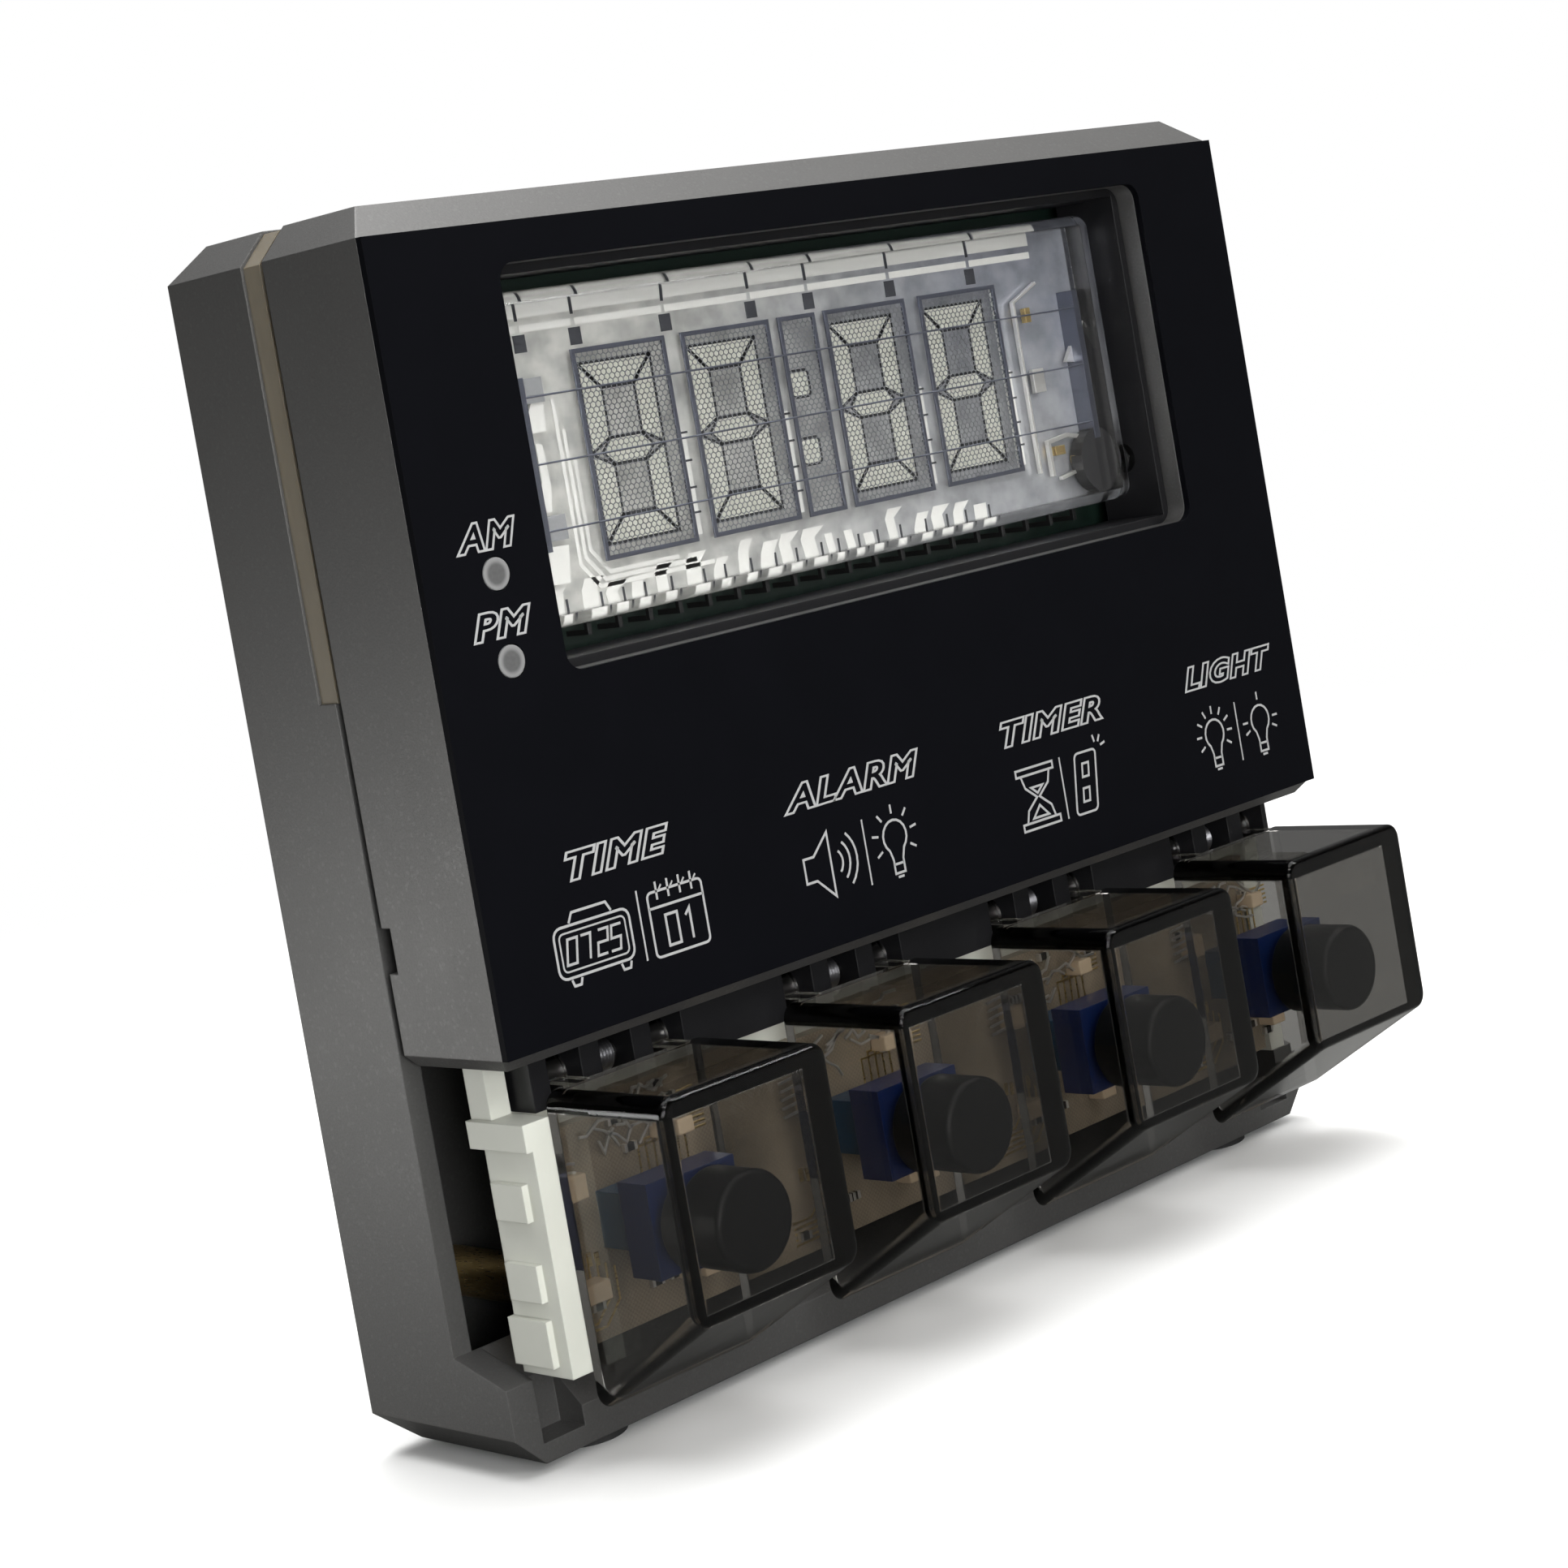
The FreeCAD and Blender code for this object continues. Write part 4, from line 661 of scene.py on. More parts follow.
# %% Finishes by node
NODE_FINISH = {
    "anodised_grey": ("front_housing", "rear_housing"),
    "panel_black": ("front_panel",),
    "plastic_black": ("display_bezel", "liner_frame", "cell_holder", "power_tongue", "hinge_rail"),
    "tube_clear": ("display_glass", "display_tip"),
    "plate_film": ("display_plate",),
    "grid_steel": ("display_grids", "display_filaments"),
    "lead_dull": ("display_leads",),
    "tin_bright": ("power_socket",),
    "indicator_frosted": ("am_light", "pm_light", "indicator_sources"),
    "board_green": ("main_board", "power_board"),
    "board_tan": ("key_board",),
    "chip_black": ("controller_chip", "driver_chip", "buzzer"),
    "steel_ground": ("clock_crystal", "supply_capacitor", "coin_cell", "rear_screws"),
    "steel_dark": ("hinge_shaft",),
    "ferrite_dark": ("supply_coil",),
    "brass_turned": ("board_posts", "bracket_posts"),
    "strip_tan": ("light_strip",),
    "rubber_black": ("rubber_feet",),
    "bracket_white": ("key_bracket",),
    "ribbon_amber": ("key_ribbon",),
    "key_smoke": tuple(f"key_{n}" for n in KEY_NAMES),
    "steel_spring": tuple(f"spring_{n}" for n in KEY_NAMES),
    "switch_navy": tuple(f"switch_{n}" for n in KEY_NAMES),
    "switch_foot_blue": tuple(f"switch_foot_{n}" for n in KEY_NAMES),
    "plunger_black": tuple(f"plunger_{n}" for n in KEY_NAMES),
}
dressed = 0
for finish_name, members in NODE_FINISH.items():
    for member in members:
        for slot in nodes[member].material_slots:
            slot.material = materials[finish_name]
        dressed += 1
print("nodes dressed:", dressed, "of", len(nodes))

# %% [markdown]
# ## Flat pieces: bands, plates and blocks
#
# Printing, traces and etched metal are all flat shapes of even thickness that stand on a face. Two
# builders cover them. A band follows a line of points with mitred corners, like a road. A plate is a
# closed outline pushed out by its thickness. Both collect into one mesh, so that a whole print is a
# single piece.


# %% Flat builders
class Sheetwork:
    """Collects flat shapes drawn in x and z, in millimetres, that stand on a face at y = back."""

    def __init__(self, back, thickness, slide=0.0):
        self.work = bmesh.new()
        self.slide = slide
        self.back = back
        self.front = back - thickness

    def point(self, x, z, y):
        return self.work.verts.new(Vector((x + self.slide, y, z)) * MM)

    def plate(self, outline):
        """A closed outline, given anticlockwise as seen from the front."""
        near = [self.point(x, z, self.front) for x, z in outline]
        far = [self.point(x, z, self.back) for x, z in outline]
        self.work.faces.new(near)
        self.work.faces.new(far[::-1])
        for i in range(len(near)):
            j = (i + 1) % len(near)
            self.work.faces.new((near[j], near[i], far[i], far[j]))

    def box(self, x0, z0, x1, z1):
        self.plate([(x0, z0), (x1, z0), (x1, z1), (x0, z1)])

    def band(self, points, width, closed=False):
        """A strip of even width along a line of points, with mitred corners."""
        left, right = side_points(points, width / 2.0, closed)
        rows = []
        for a, b in zip(left, right):
            near = [self.point(*a, self.front), self.point(*b, self.front)]
            far = [self.point(*b, self.back), self.point(*a, self.back)]
            rows.append(near + far)
        count = len(rows)
        for i in range(count if closed else count - 1):
            here, there = rows[i], rows[(i + 1) % count]
            for k in range(4):
                m = (k + 1) % 4
                self.work.faces.new((here[k], here[m], there[m], there[k]))
        if not closed:
            self.work.faces.new(rows[0][::-1])
            self.work.faces.new(rows[-1])

    def done(self, name, finish_name, slot):
        """Turns what was collected into one named piece that rides on the case."""
        bmesh.ops.recalc_face_normals(self.work, faces=self.work.faces)
        mesh = bpy.data.meshes.new(name)
        self.work.to_mesh(mesh)
        self.work.free()
        return add_piece(name, mesh, finish_name)


MITRE_LIMIT = 0.35


def side_points(points, half, closed):
    """The points half a width to the left and right of a line, mitred where it turns."""
    line = [Vector(p) for p in points]
    count = len(line)
    left, right = [], []
    for i, here in enumerate(line):
        before = line[i - 1] if (closed or i > 0) else None
        after = line[(i + 1) % count] if (closed or i < count - 1) else None
        pairs = [(a, b) for a, b in ((before, here), (here, after)) if a is not None and b is not None]
        runs = [(b - a).normalized() for a, b in pairs]
        along_run = sum(runs, Vector((0.0, 0.0))).normalized()
        sideways = Vector((-along_run.y, along_run.x))
        reach = half / max(MITRE_LIMIT, sideways.dot(Vector((-runs[0].y, runs[0].x))))
        left.append(here + sideways * reach)
        right.append(here - sideways * reach)
    return left, right


def add_piece(name, mesh, finish_name):
    """A new flat-shaded object with one finish, riding on the case."""
    mesh.materials.clear()
    mesh.materials.append(materials[finish_name])
    for face in mesh.polygons:
        face.use_smooth = False
    piece = bpy.data.objects.new(name, mesh)
    scene.collection.objects.link(piece)
    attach(piece, "case")
    return piece


def arc(cx, cz, radius, start, end, steps=10, squeeze=1.0):
    """Points along an arc, angles in degrees."""
    angles = [math.radians(start + (end - start) * i / steps) for i in range(steps + 1)]
    return [(cx + radius * math.cos(a), cz + radius * squeeze * math.sin(a)) for a in angles]


def ring(cx, cz, radius, steps, squeeze):
    """A closed oval, without its repeated last point."""
    return arc(cx, cz, radius, 0, 360, steps, squeeze)[:-1]


def rounded(x0, z0, x1, z1, radius):
    """A rectangle with rounded corners, anticlockwise."""
    corners = (
        (x1 - radius, z0 + radius, -90),
        (x1 - radius, z1 - radius, 0),
        (x0 + radius, z1 - radius, 90),
        (x0 + radius, z0 + radius, 180),
    )
    return [p for cx, cz, start in corners for p in arc(cx, cz, radius, start, start + 90, 4)]


print("builders ready")

# %% [markdown]
# ## Printed words
#
# The words over the keys are printed as outlines in a wide slanted letter. Blender's own plain font gives
# generic letter shapes. With its fill off and a thin bevel it turns each letter into a wire along its
# outline, which is stretched to the width of the word, slanted, and pressed flat onto the panel.

# %% Words
PRINT_THICKNESS = 0.03
OUTLINE_WIDTH = 0.21
LETTER_SPREAD = 0.045
LETTER_SLANT = 0.3
LETTER_SPACING = 1.16
WORDS = {
    "word_time": ("TIME", -49.4, -37.4, 54.2, 56.5),
    "word_alarm": ("ALARM", -21.6, -3.2, 54.2, 56.5),
    "word_timer": ("TIMER", 10.0, 25.4, 54.2, 56.5),
    "word_light": ("LIGHT", 40.3, 55.4, 54.2, 56.5),
    "word_am": ("AM", -55.3, -48.9, 85.2, 87.5),
    "word_pm": ("PM", -55.2, -48.9, 77.2, 79.4),
}


def curve_mesh(holder):
    """The mesh that a curve or text object shows as it stands."""
    bpy.context.view_layer.update()
    return bpy.data.meshes.new_from_object(holder.evaluated_get(bpy.context.evaluated_depsgraph_get()))


def letter_mesh(text, x0, x1, z0, z1):
    """Outlined letters as a flat mesh on the panel, fitted to a box."""
    source = bpy.data.curves.new("letters", "FONT")
    source.body = text
    source.shear = LETTER_SLANT
    source.resolution_u = 4
    source.fill_mode = "NONE"
    source.space_character = LETTER_SPACING
    source.offset = LETTER_SPREAD
    holder = bpy.data.objects.new("letters", source)
    scene.collection.objects.link(holder)
    thin = curve_mesh(holder)
    spots = [v.co.copy() for v in thin.vertices]
    bpy.data.meshes.remove(thin)
    wide = max(c.x for c in spots) - min(c.x for c in spots)
    tall = max(c.y for c in spots) - min(c.y for c in spots)
    stretch_x, stretch_z = (x1 - x0) / wide, (z1 - z0) / tall
    start_x, start_z = min(c.x for c in spots), min(c.y for c in spots)
    source.bevel_depth = OUTLINE_WIDTH / 2.0 / stretch_z
    source.bevel_resolution = 1
    made = curve_mesh(holder)
    deepest = max(abs(v.co.z) for v in made.vertices)
    for v in made.vertices:
        x = x0 + (v.co.x - start_x) * stretch_x
        z = z0 + (v.co.y - start_z) * stretch_z
        y = PANEL_FRONT - PRINT_THICKNESS * (0.5 + 0.5 * v.co.z / deepest)
        v.co = Vector((x, y, z)) * MM
    bpy.data.objects.remove(holder)
    bpy.data.curves.remove(source)
    return made


for word_name, (text, x0, x1, z0, z1) in WORDS.items():
    add_piece(word_name, letter_mesh(text, x0, x1, z0, z1), "ink_pale")
print("words:", len(WORDS))

# %% [markdown]
# ## Printed icons
#
# Under each word there are two small line drawings with a bar between them. They are bands of one line
# width, drawn here as plain lists of points. Digits inside the drawings are single strokes on a small
# seven-part pattern.

# %% Icon helpers
LINE = 0.24
ICON_LOW = 44.8
DIGIT_STROKES = {
    "0": [[(0, 0), (1, 0), (1, 2), (0, 2), (0, 0)]],
    "1": [[(0.2, 1.6), (0.6, 2), (0.6, 0)]],
    "2": [[(0, 2), (1, 2), (1, 1), (0, 1), (0, 0), (1, 0)]],
    "5": [[(1, 2), (0, 2), (0, 1), (1, 1), (1, 0), (0, 0)]],
    "7": [[(0, 2), (1, 2), (1, 0)]],
}


def draw_digits(work, text, x, z, size, gap, slant, width):
    """Digits as single strokes, starting at x, z."""
    for i, mark in enumerate(text):
        for stroke in DIGIT_STROKES[mark]:
            start = x + i * (size + gap)
            line = [(start + size * (px + slant * pz), z + size * pz) for px, pz in stroke]
            closed = line[0] == line[-1]
            work.band(line[:-1] if closed else line, width, closed)


def draw_bulb(work, cx, z, size, rays):
    """A light bulb: a round top, a neck, a base and the rays round it."""
    top = z + size * 0.62
    radius = size * 0.25
    outline = arc(cx, top, radius, -52, 232, 14)
    neck = radius * 0.42
    outline += [(cx - neck, z + size * 0.27), (cx - neck, z + size * 0.06)]
    outline += [(cx + neck, z + size * 0.06), (cx + neck, z + size * 0.27)]
    work.band(outline, LINE, True)
    work.band([(cx - neck, z + size * 0.2), (cx + neck, z + size * 0.2)], LINE)
    work.band([(cx - neck * 0.6, z), (cx + neck * 0.6, z)], LINE)
    draw_rays(work, cx, top, radius * 1.4, radius * 1.95, rays)


def draw_rays(work, cx, cz, inner, outer, angles):
    """Short strokes that point away from a centre."""
    for angle in angles:
        a = math.radians(angle)
        start = (cx + inner * math.cos(a), cz + inner * math.sin(a))
        end = (cx + outer * math.cos(a), cz + outer * math.sin(a))
        work.band([start, end], LINE)


def draw_divider(work, x):
    """The bar between the two drawings of a group."""
    work.band([(x, ICON_LOW), (x, 51.4)], LINE * 0.8)


def icon_work():
    return Sheetwork(PANEL_FRONT, PRINT_THICKNESS)


print("digit patterns:", len(DIGIT_STROKES))


# %% Icons
icons = icon_work()
icons.band(rounded(-52.6, 45.5, -43.5, 50.2, 0.9), LINE, True)
icons.band(rounded(-52.0, 46.1, -44.1, 49.6, 0.5), LINE * 0.7, True)
icons.band([(-50.6, 50.4), (-50.1, 51.3), (-46.0, 51.3), (-45.5, 50.4)], LINE)
for foot in (-51.3, -45.3):
    icons.band([(foot, 45.3), (foot + 0.2, 44.7), (foot + 1.0, 44.7), (foot + 1.2, 45.3)], LINE)
draw_digits(icons, "07", -51.5, 46.7, 1.15, 0.45, 0.18, LINE)
draw_digits(icons, "25", -47.8, 46.7, 1.15, 0.45, 0.18, LINE)
draw_divider(icons, -42.2)
icons.band(rounded(-41.0, 44.7, -34.2, 50.8, 0.5), LINE, True)
icons.band([(-41.0, 49.3), (-34.2, 49.3)], LINE)
for i in range(4):
    ring_x = -39.8 + 1.45 * i
    icons.band([(ring_x, 50.0), (ring_x, 51.7)], LINE)
    icons.band([(ring_x + 0.35, 50.9), (ring_x + 0.7, 51.3)], LINE * 0.7)
draw_digits(icons, "01", -39.2, 45.5, 1.45, 0.7, 0.0, LINE * 1.1)
icons.done("icons_time", "ink_pale", "black_panel")

icons = icon_work()
horn = [(-20.8, 46.9), (-19.4, 46.9), (-17.2, 44.9), (-17.2, 51.3), (-19.4, 49.3), (-20.8, 49.3)]
icons.band(horn, LINE, True)
for reach in (0.9, 1.9, 2.9):
    icons.band(arc(-17.0, 48.1, reach + 0.5, -48, 48, 8), LINE)
draw_divider(icons, -12.2)
draw_bulb(icons, -8.0, 44.7, 6.6, range(-30, 211, 40))
icons.done("icons_alarm", "ink_pale", "black_panel")

icons = icon_work()
icons.band([(10.8, 51.3), (16.6, 51.3), (16.6, 50.6), (10.8, 50.6)], LINE, True)
icons.band([(10.8, 44.9), (16.6, 44.9), (16.6, 45.6), (10.8, 45.6)], LINE, True)
icons.band([(11.5, 50.5), (11.9, 49.3), (13.5, 48.1), (11.9, 46.9), (11.5, 45.7)], LINE)
icons.band([(15.9, 50.5), (15.5, 49.3), (13.9, 48.1), (15.5, 46.9), (15.9, 45.7)], LINE)
icons.band([(12.5, 46.0), (13.7, 47.2), (14.9, 46.0)], LINE, True)
icons.band([(12.8, 49.2), (13.7, 48.5), (14.6, 49.2)], LINE, True)
draw_divider(icons, 17.8)
LEAN = 0.16


def lean(points):
    """Slants an icon's points to the right with height."""
    return [(x + LEAN * (z - ICON_LOW), z) for x, z in points]


icons.band(lean(rounded(19.2, 44.8, 22.6, 51.2, 0.5)), LINE, True)
icons.band(lean([(20.4, 46.0), (21.4, 46.0), (21.4, 47.4), (20.4, 47.4)]), LINE, True)
icons.band(lean([(20.4, 48.6), (21.4, 48.6), (21.4, 50.0), (20.4, 50.0)]), LINE, True)
draw_rays(icons, 23.9, 51.2, 0.7, 1.5, (15, 60, 105))
icons.done("icons_timer", "ink_pale", "black_panel")

icons = icon_work()
draw_bulb(icons, 43.7, 44.7, 6.4, range(-30, 211, 30))
draw_divider(icons, 47.9)
draw_bulb(icons, 52.0, 44.7, 6.4, (0, 90, 180, -25, 205))
icons.done("icons_light", "ink_pale", "black_panel")
print("icon groups: 4")

# %% [markdown]
# ## Inside the display tube: segments
#
# The digits are seven phosphor segments each, printed on the plate behind the mesh. Every segment lies on
# a slightly larger dark shape, which shows round it as a thin seam. The frames of the four digits and the
# colon come from the CAD grid frames, so the segments are spaced from those.

# %% Digit places
DIGIT_WIDTH = 12.1
DIGIT_PITCH = 14.3
COLON_WIDTH = 5.3
FILM = 0.02
grid_low, grid_high = low("display_grids"), high("display_grids")
LAST_START = grid_high.x - DIGIT_WIDTH
DIGIT_STARTS = (grid_low.x, grid_low.x + DIGIT_PITCH, LAST_START - DIGIT_PITCH, LAST_START)
COLON_START = (grid_low.x + grid_high.x - COLON_WIDTH) / 2.0
DIGIT_LOW, DIGIT_HIGH = grid_low.z, grid_high.z
print("digits start at", [round(x, 1) for x in DIGIT_STARTS], "colon at", round(COLON_START, 1))


# %% Segments
def segment_outlines(x0, z0, x1, z1, stroke, gap):
    """The seven outlines of a digit in a box, with mitred ends that leave gap between neighbours."""
    half = (z0 + z1) / 2.0
    t, g = stroke, gap
    shapes = [
        [(x0 + g, z1), (x0 + t + g, z1 - t), (x1 - t - g, z1 - t), (x1 - g, z1)],
        [(x0 + g, z0), (x1 - g, z0), (x1 - t - g, z0 + t), (x0 + t + g, z0 + t)],
        [
            (x0 + t / 2 + g, half),
            (x0 + t + g, half - t / 2),
            (x1 - t - g, half - t / 2),
            (x1 - t / 2 - g, half),
            (x1 - t - g, half + t / 2),
            (x0 + t + g, half + t / 2),
        ],
    ]
    for low_z, high_z, down in ((z0, half, False), (half, z1, True)):
        start, end = low_z + g, high_z - g
        inner_start = start + (t / 2 if down else t)
        inner_end = end - (t if down else t / 2)
        shapes.append([(x0, start), (x0 + t, inner_start), (x0 + t, inner_end), (x0, end)])
        shapes.append([(x1, start), (x1, end), (x1 - t, inner_end), (x1 - t, inner_start)])
    return shapes


SEGMENT_MARGIN_X = 1.5
SEGMENT_MARGIN_Z = 1.6
SEGMENT_STROKE = 2.3
SEGMENT_GAP = 0.3
SEAM = 0.62
segments = Sheetwork(PLATE_FRONT - FILM, FILM)
seams = Sheetwork(PLATE_FRONT, FILM)
for start in DIGIT_STARTS:
    x0, x1 = start + SEGMENT_MARGIN_X, start + DIGIT_WIDTH - SEGMENT_MARGIN_X
    z0, z1 = DIGIT_LOW + SEGMENT_MARGIN_Z, DIGIT_HIGH - SEGMENT_MARGIN_Z
    for outline in segment_outlines(x0, z0, x1, z1, SEGMENT_STROKE, SEGMENT_GAP):
        segments.plate(outline)
        seams.band(outline, SEAM, True)
for dot_z in (0.32, 0.66):
    centre_z = DIGIT_LOW + dot_z * (DIGIT_HIGH - DIGIT_LOW)
    outline = rounded(COLON_START + 1.5, centre_z - 1.2, COLON_START + 3.8, centre_z + 1.2, 0.3)
    segments.plate(outline)
    seams.band(outline, SEAM, True)
segments.done("display_segments", "phosphor", "plate_glass")
seams.done("display_seams", "film_dark", "plate_glass")
print("segments:", 7 * len(DIGIT_STARTS) + 2)

# %% [markdown]
# ## Inside the display tube: mesh
#
# In front of each digit the CAD frame holds an etched steel mesh, so fine that it shows only as a
# shimmer. It is real geometry here, because a painted pattern that fine breaks up in a picture. Rows of
# zigzag wire make the honeycomb.

# %% Mesh
MESH_PITCH = 0.66
MESH_WIRE = 0.11
MESH_RISE = 0.16 * MESH_PITCH
MESH_DEPTH = 0.12
mesh_y = grid_low.y + MESH_DEPTH


def honeycomb(work, x0, z0, x1, z1):
    """Zigzag wires from left to right, each row a mirror of the last, so that they close into cells."""
    rows = int((z1 - z0) / (MESH_PITCH * 0.75))
    steps = int((x1 - x0) / (MESH_PITCH * 0.5))
    for row in range(rows + 1):
        base = z0 + row * (z1 - z0) / rows
        rise = MESH_RISE * (1 if row % 2 else -1)
        line = []
        for i in range(steps + 1):
            x = x0 + i * (x1 - x0) / steps
            line.append((x, base + (rise if i % 2 else -rise)))
        work.band(line, MESH_WIRE)
    for row in range(rows):
        base = z0 + row * (z1 - z0) / rows
        reach = (z1 - z0) / rows
        for i in range(row % 2, steps + 1, 2):
            x = x0 + i * (x1 - x0) / steps
            work.band([(x, base + MESH_RISE), (x, base + reach - MESH_RISE)], MESH_WIRE)


FRAME_RIM = 0.35
MESH_THICKNESS = 0.03
weave = Sheetwork(mesh_y, MESH_THICKNESS)
frames = [(start, DIGIT_WIDTH) for start in DIGIT_STARTS] + [(COLON_START, COLON_WIDTH)]
for start, wide in frames:
    x0, x1 = start + FRAME_RIM, start + wide - FRAME_RIM
    honeycomb(weave, x0, DIGIT_LOW + FRAME_RIM, x1, DIGIT_HIGH - FRAME_RIM)
mesh_piece = weave.done("display_mesh", "mesh_steel", "display_steel")
print("mesh faces:", len(mesh_piece.data.polygons))

# %% [markdown]
# ## Inside the display tube: traces, pads and metalwork
#
# Round the digits the plate carries white conductor lines that run down to pads along the lower edge, a
# bright band along the top edge with dark marks in it, and the metal parts that hold the heater wires at
# both ends. Uneven marks come from a seeded random generator, so the picture is the same each time.

# %% Traces and pads
marks = random.Random(11)
tube_low, tube_high = low("display_plate"), high("display_plate")
bright = Sheetwork(PLATE_FRONT, FILM * 1.5)
dark = Sheetwork(PLATE_FRONT, FILM * 2.5)

TOP_BAND = (105.6, 107.5)
LOWER_BAND = (104.2, 104.9)
MARK_SHARES = (0.07, 0.15, 0.285, 0.42, 0.515, 0.655, 0.80)
PAD_LOW = 76.9
PADS_END = 22.0
TRACE_LOW = 79.0
TRACE_WIDTH = 0.42
mark_x = [tube_low.x + 0.4]
for share in MARK_SHARES:
    mark_x.append(tube_low.x + share * (tube_high.x - tube_low.x))
mark_x.append(tube_high.x - 7.0)
for left, right in zip(mark_x, mark_x[1:]):
    bright.box(left + 0.25, TOP_BAND[0], right - 0.25, TOP_BAND[1])
    bright.box(left + 0.2, LOWER_BAND[0], right - 0.3, LOWER_BAND[1])
for x in mark_x[1:-1]:
    lean_x = marks.uniform(-0.3, 0.3)
    dark.band([(x, TOP_BAND[0] - 0.3), (x + lean_x, TOP_BAND[1])], 0.35)
    dark.box(x - 0.75, 102.3, x + 0.75, 104.0)

for i in range(3):
    inset = 0.75 * i
    left, bottom = grid_low.x - 2.4 + inset, TRACE_LOW + inset * 0.8
    line = [(left, 97.5 - 3.0 * i), (left, bottom + 2.4)]
    line += [(left + 2.0, bottom), (left + 17.0 - 3.0 * i, bottom)]
    bright.band(line, TRACE_WIDTH)
for start in DIGIT_STARTS:
    gap_x = start + DIGIT_WIDTH + 0.55
    bright.box(gap_x, DIGIT_LOW + 0.6, gap_x + 1.0, DIGIT_HIGH - 9.5)
    for z in (84.0, 86.5, 89.2, 92.0):
        dark.box(gap_x - 0.25, z, gap_x + 1.3, z + 0.22)

pad_x = tube_low.x + 1.6
while pad_x < PADS_END:
    wide = marks.uniform(1.0, 2.0)
    top = PAD_LOW + marks.uniform(1.2, 2.6)
    side = marks.uniform(-0.5, 0.5)
    end_x = pad_x + wide
    bright.plate([(pad_x, PAD_LOW), (end_x, PAD_LOW), (end_x + side, top), (pad_x + side, top)])
    if marks.random() < 0.5:
        fold = [(end_x + 1.2, top + 1.0), (pad_x + side + 0.6, top + 1.0)]
        bright.plate([(pad_x + side, top), (end_x + side, top)] + fold)
    dark.box(end_x + 0.35, PAD_LOW + 0.2, end_x + 0.6, PAD_LOW + 1.6)
    pad_x += wide + marks.uniform(1.3, 2.4)
bright.done("display_conductors", "film_white", "plate_glass")
dark.done("display_marks", "film_dark", "plate_glass")
print("marks along the top edge:", len(mark_x))

# %% Left and right ends
END_SLIDE = 2.2
left_end = Sheetwork(PLATE_FRONT - 0.6, 0.25, END_SLIDE)
hook = [(-41.4, 87.0), (-39.6, 87.0), (-39.2, 89.5), (-39.4, 93.4), (-40.2, 93.6), (-40.2, 90.0)]
left_end.plate(hook)
left_end.plate([(-40.8, 94.6), (-38.6, 94.6), (-38.4, 97.6), (-39.8, 97.6), (-40.6, 96.2)])
left_end.plate([(-42.6, 80.2), (-38.9, 80.0), (-38.3, 83.6), (-42.6, 83.8)])
left_end.band([(-42.4, 99.5), (-41.4, 96.0), (-41.0, 92.0), (-41.4, 88.0), (-42.4, 84.5)], 0.5)
left_end.done("display_support_left", "film_white", "display_steel")
block = Sheetwork(PLATE_FRONT - 0.4, 0.9, END_SLIDE)
for z in (84.2, 97.4):
    block.box(-41.0, z, -38.5, z + 2.4)
block.done("display_anchor_left", "film_grey", "display_steel")
# a green sheet with a painted glow at the left end of the tube; it gives off no light of its own
painted_glow_sheet = Sheetwork(PLATE_FRONT - 0.1, 0.1, END_SLIDE)
painted_glow_sheet.plate([(-43.0, 85.5), (-42.2, 86.0), (-41.6, 90.0), (-42.0, 94.0), (-43.0, 95.0)])
painted_glow_sheet.done("display_painted_glow_left", "film_green", "plate_glass")

right_end = Sheetwork(PLATE_FRONT - 0.5, 0.5, END_SLIDE)
right_end.box(30.6, 89.4, 32.4, 92.0)
right_end.plate([(36.4, 92.2), (38.0, 92.0), (40.4, 96.4), (38.9, 95.4)])
right_end.band([(31.4, 80.0), (31.4, 83.8), (34.6, 84.2), (37.5, 83.6)], 0.45)
right_end.band([(32.6, 79.6), (36.2, 80.2), (38.4, 82.2)], 0.4)
right_end.band([(26.4, 81.4), (26.4, 101.6)], 0.3)
right_end.band([(29.4, 80.6), (29.4, 99.6), (33.5, 101.4)], 0.3)
right_end.done("display_support_right", "tin_bright", "display_steel")
gold = Sheetwork(PLATE_FRONT - 0.5, 0.7, END_SLIDE)
gold.box(32.0, 82.2, 33.6, 83.2)
gold.box(35.0, 81.0, 36.2, 81.8)
gold.box(30.8, 97.2, 31.6, 98.8)
gold.done("display_tabs_right", "gold_pad", "lead_metal")
GETTER_DEPTH = 1.6
getter = Sheetwork(PLATE_FRONT - 0.6, GETTER_DEPTH)
getter.plate(ring(40.2, 80.9, 3.1, 28, 1.15))
getter.done("display_getter", "getter_black", "display_steel")
inside = [o for o in scene.objects if o.name.startswith("display_") and o.name not in nodes]
print("display pieces:", len(inside))

# %% [markdown]
# ## Small parts on the key board
#
# The tan board behind the keys shows between them and through them. It carries plain little parts: cream
# connector blocks beside each switch, chip resistors with bright ends, gold pads and printed copper
# lines. Thin bright wires stand a little in front of it. All four keys get the same parts. Only the
# resistors and the wires differ, by seeded random numbers.


# %% Small block builder
def bevelled_block(work, lowest, highest, edge):
    """A box with chamfered edges, from one corner to the other, in millimetres."""
    size = Vector(highest) - Vector(lowest)
    centre = (Vector(highest) + Vector(lowest)) / 2.0
    placed = Matrix.Translation(centre * MM) @ Matrix.Diagonal((size * MM).to_4d())
    made = bmesh.ops.create_cube(work, size=1.0, matrix=placed)
    edges = list({e for v in made["verts"] for e in v.link_edges})
    bmesh.ops.bevel(work, geom=edges, offset=edge * MM, segments=2, affect="EDGES", profile=0.6)


def blocks_piece(name, boxes, finish_name, edge):
    """Many bevelled blocks as one piece."""
    work = bmesh.new()
    for lowest, highest in boxes:
        bevelled_block(work, lowest, highest, edge)
    mesh = bpy.data.meshes.new(name)
    work.to_mesh(mesh)
    work.free()
    return add_piece(name, mesh, finish_name)


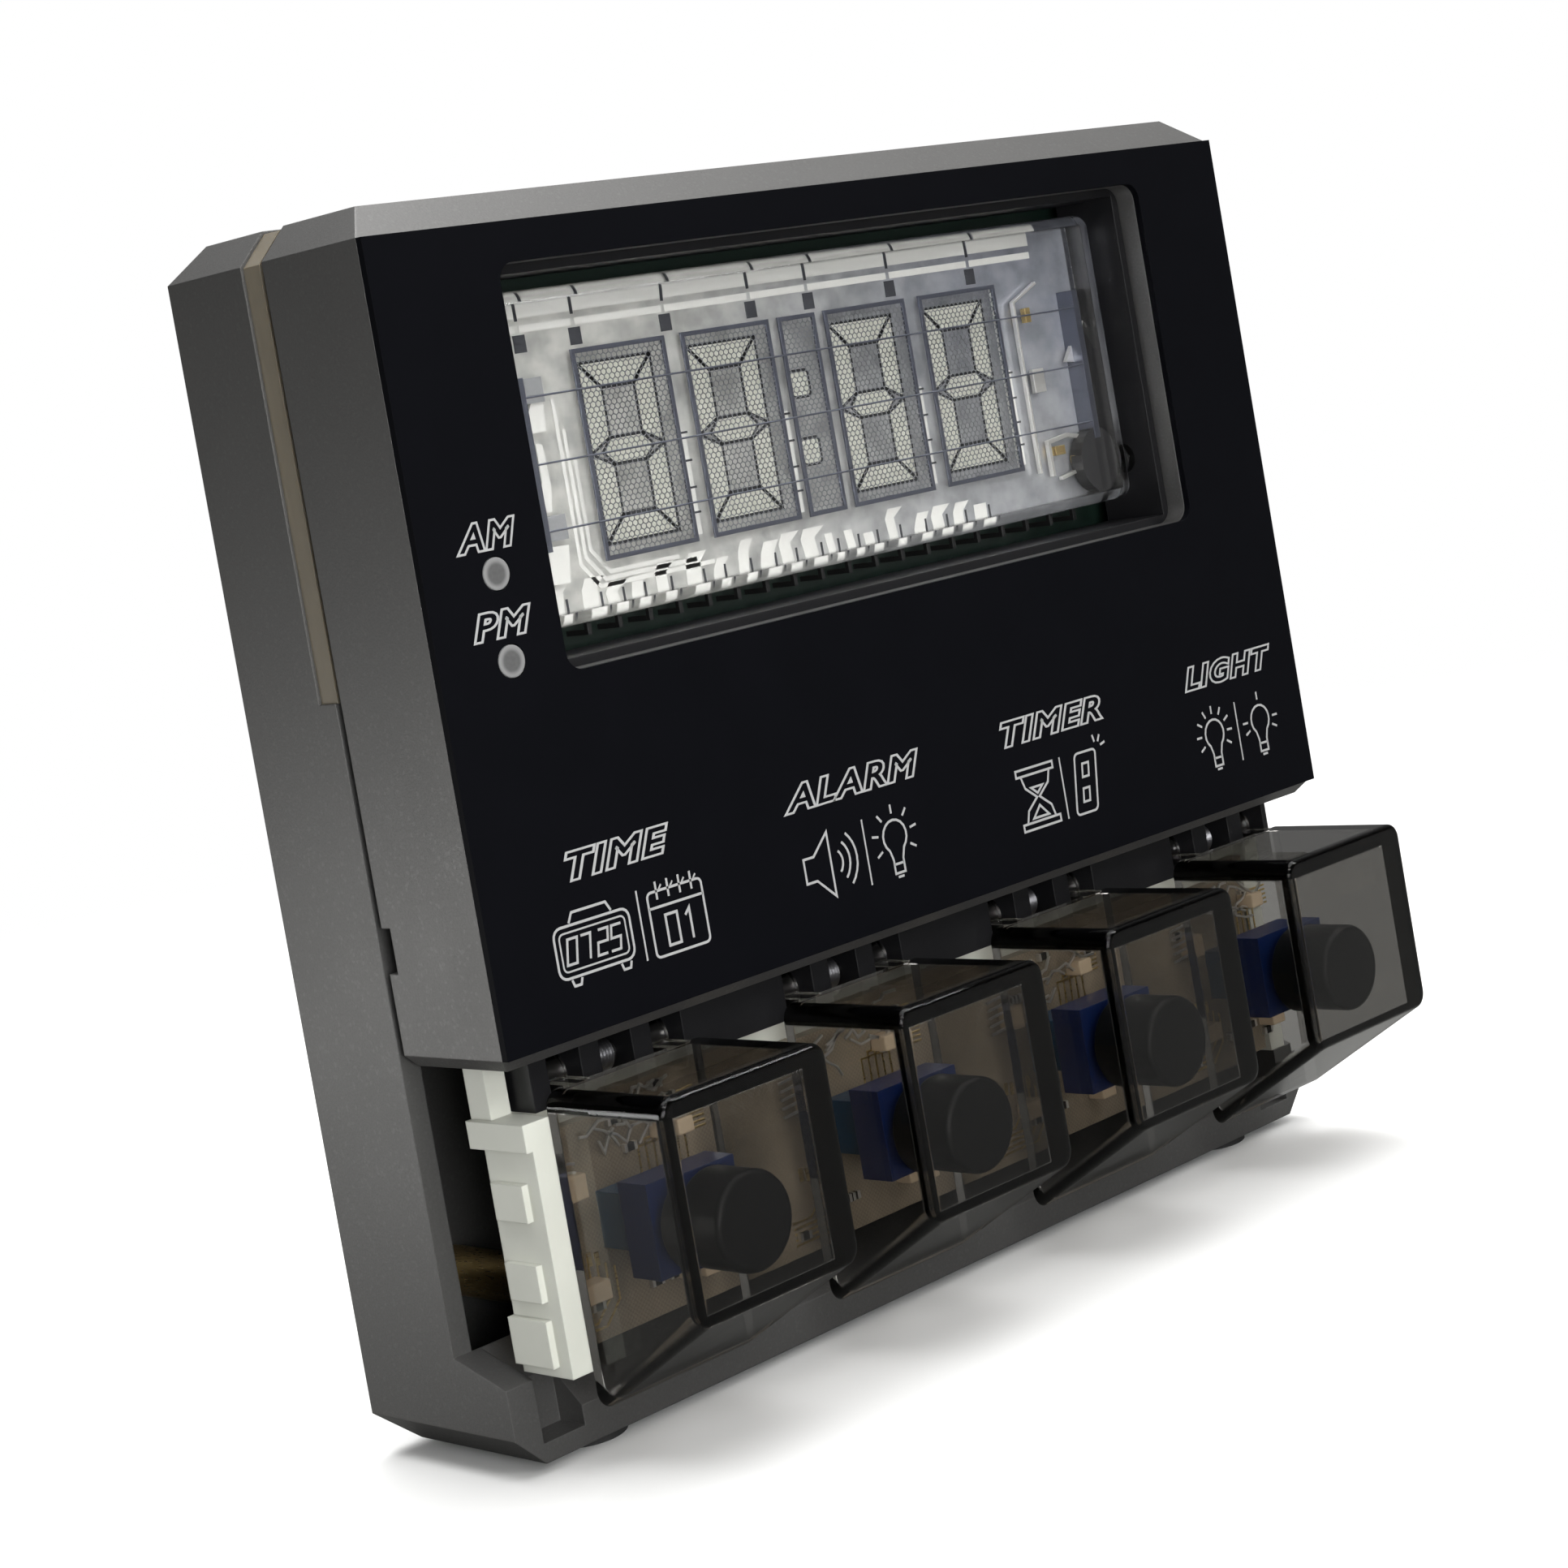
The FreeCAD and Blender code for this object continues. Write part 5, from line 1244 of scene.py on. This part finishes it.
def on_board(x, z, wide, tall, deep):
    """The corners of a block that stands on the key board."""
    return (x - wide / 2, BOARD_FRONT - deep, z - tall / 2), (x + wide / 2, BOARD_FRONT, z + tall / 2)


print("key board front at y", round(BOARD_FRONT, 2))

# %% Key board parts
key_centres = [(low(f"key_{n}").x + high(f"key_{n}").x) / 2.0 for n in KEY_NAMES]
scatter = random.Random(5)
CREAM_PLACES = (
    (-6.4, 25.4, 2.6, 2.4),
    (-5.8, 15.4, 2.8, 1.9),
    (5.8, 27.6, 2.0, 1.6),
    (6.2, 14.0, 2.2, 2.0),
)
CHIP_ROWS = (12.2, 13.6, 26.8, 28.4, 29.8)
COPPER_THICKNESS = 0.05
COPPER_WIDTH = 0.22
cream, chips, ends, pads = [], [], [], []
lines = Sheetwork(BOARD_FRONT, COPPER_THICKNESS)
for centre in key_centres:
    for dx, z, wide, tall in CREAM_PLACES:
        cream.append(on_board(centre + dx, z, wide, tall, 2.2))
    for _ in range(9):
        dx, z = scatter.uniform(-9.5, 9.0), scatter.choice(CHIP_ROWS)
        chips.append(on_board(centre + dx, z, 0.9, 0.8, 0.5))
        ends += [on_board(centre + dx + side * 0.6, z, 0.35, 0.82, 0.55) for side in (-1, 1)]
    for i in range(6):
        pads.append(on_board(centre - 8.4 + 0.9 * i, 18.0 - 0.2 * (i % 2), 0.5, 1.3, 0.12))
        pads.append(on_board(centre + 3.6 + 0.9 * i, 22.6 + 0.2 * (i % 2), 0.5, 1.0, 0.12))
    for i in range(5):
        z = 11.4 + 0.55 * i
        turn_x, rise_x = centre - 4 - i, centre - 2 - i
        lines.band([(centre - 10.5, z), (turn_x, z), (rise_x, z + 2.0), (rise_x, z + 5.2)], COPPER_WIDTH)
        run_x, run_z = centre + 3.2 + i, 26.4 + 0.5 * i
        lines.band([(run_x, 23.0), (run_x, run_z), (centre + 10.0, run_z)], COPPER_WIDTH)

# %% Wires in front of the key board
WIRE_GAP = 1.2
WIRE_WIDTH = 0.24
WIRE_TOP = 30.6
wires = Sheetwork(BOARD_FRONT - WIRE_GAP, WIRE_WIDTH)
for centre in key_centres:
    for i in range(5):
        z = 24.4 + 0.85 * i
        wires.band([(centre - 10.4, z), (centre - 7.6, z + 0.2), (centre - 5.6, z - 0.3)], WIRE_WIDTH)
    for _ in range(9):
        x, z = centre + scatter.uniform(-6.0, 4.0), scatter.uniform(26.6, 30.2)
        line = [(x, z)]
        for _ in range(3):
            x += scatter.uniform(0.5, 1.7)
            z = min(z + scatter.uniform(-1.4, 1.4), WIRE_TOP)
            line.append((x, z))
        wires.band(line, WIRE_WIDTH)
wires.done("board_wires", "tin_bright", "lead_metal")
blocks_piece("board_connectors", cream, "part_cream", 0.18)
blocks_piece("board_resistors", chips, "chip_black", 0.06)
blocks_piece("board_solder_ends", ends, "tin_bright", 0.05)
blocks_piece("board_gold_pads", pads, "gold_pad", 0.03)
lines.done("board_copper_lines", "gold_pad", "board_tan")
print("parts on the key board:", len(cream) + len(chips) + len(pads))
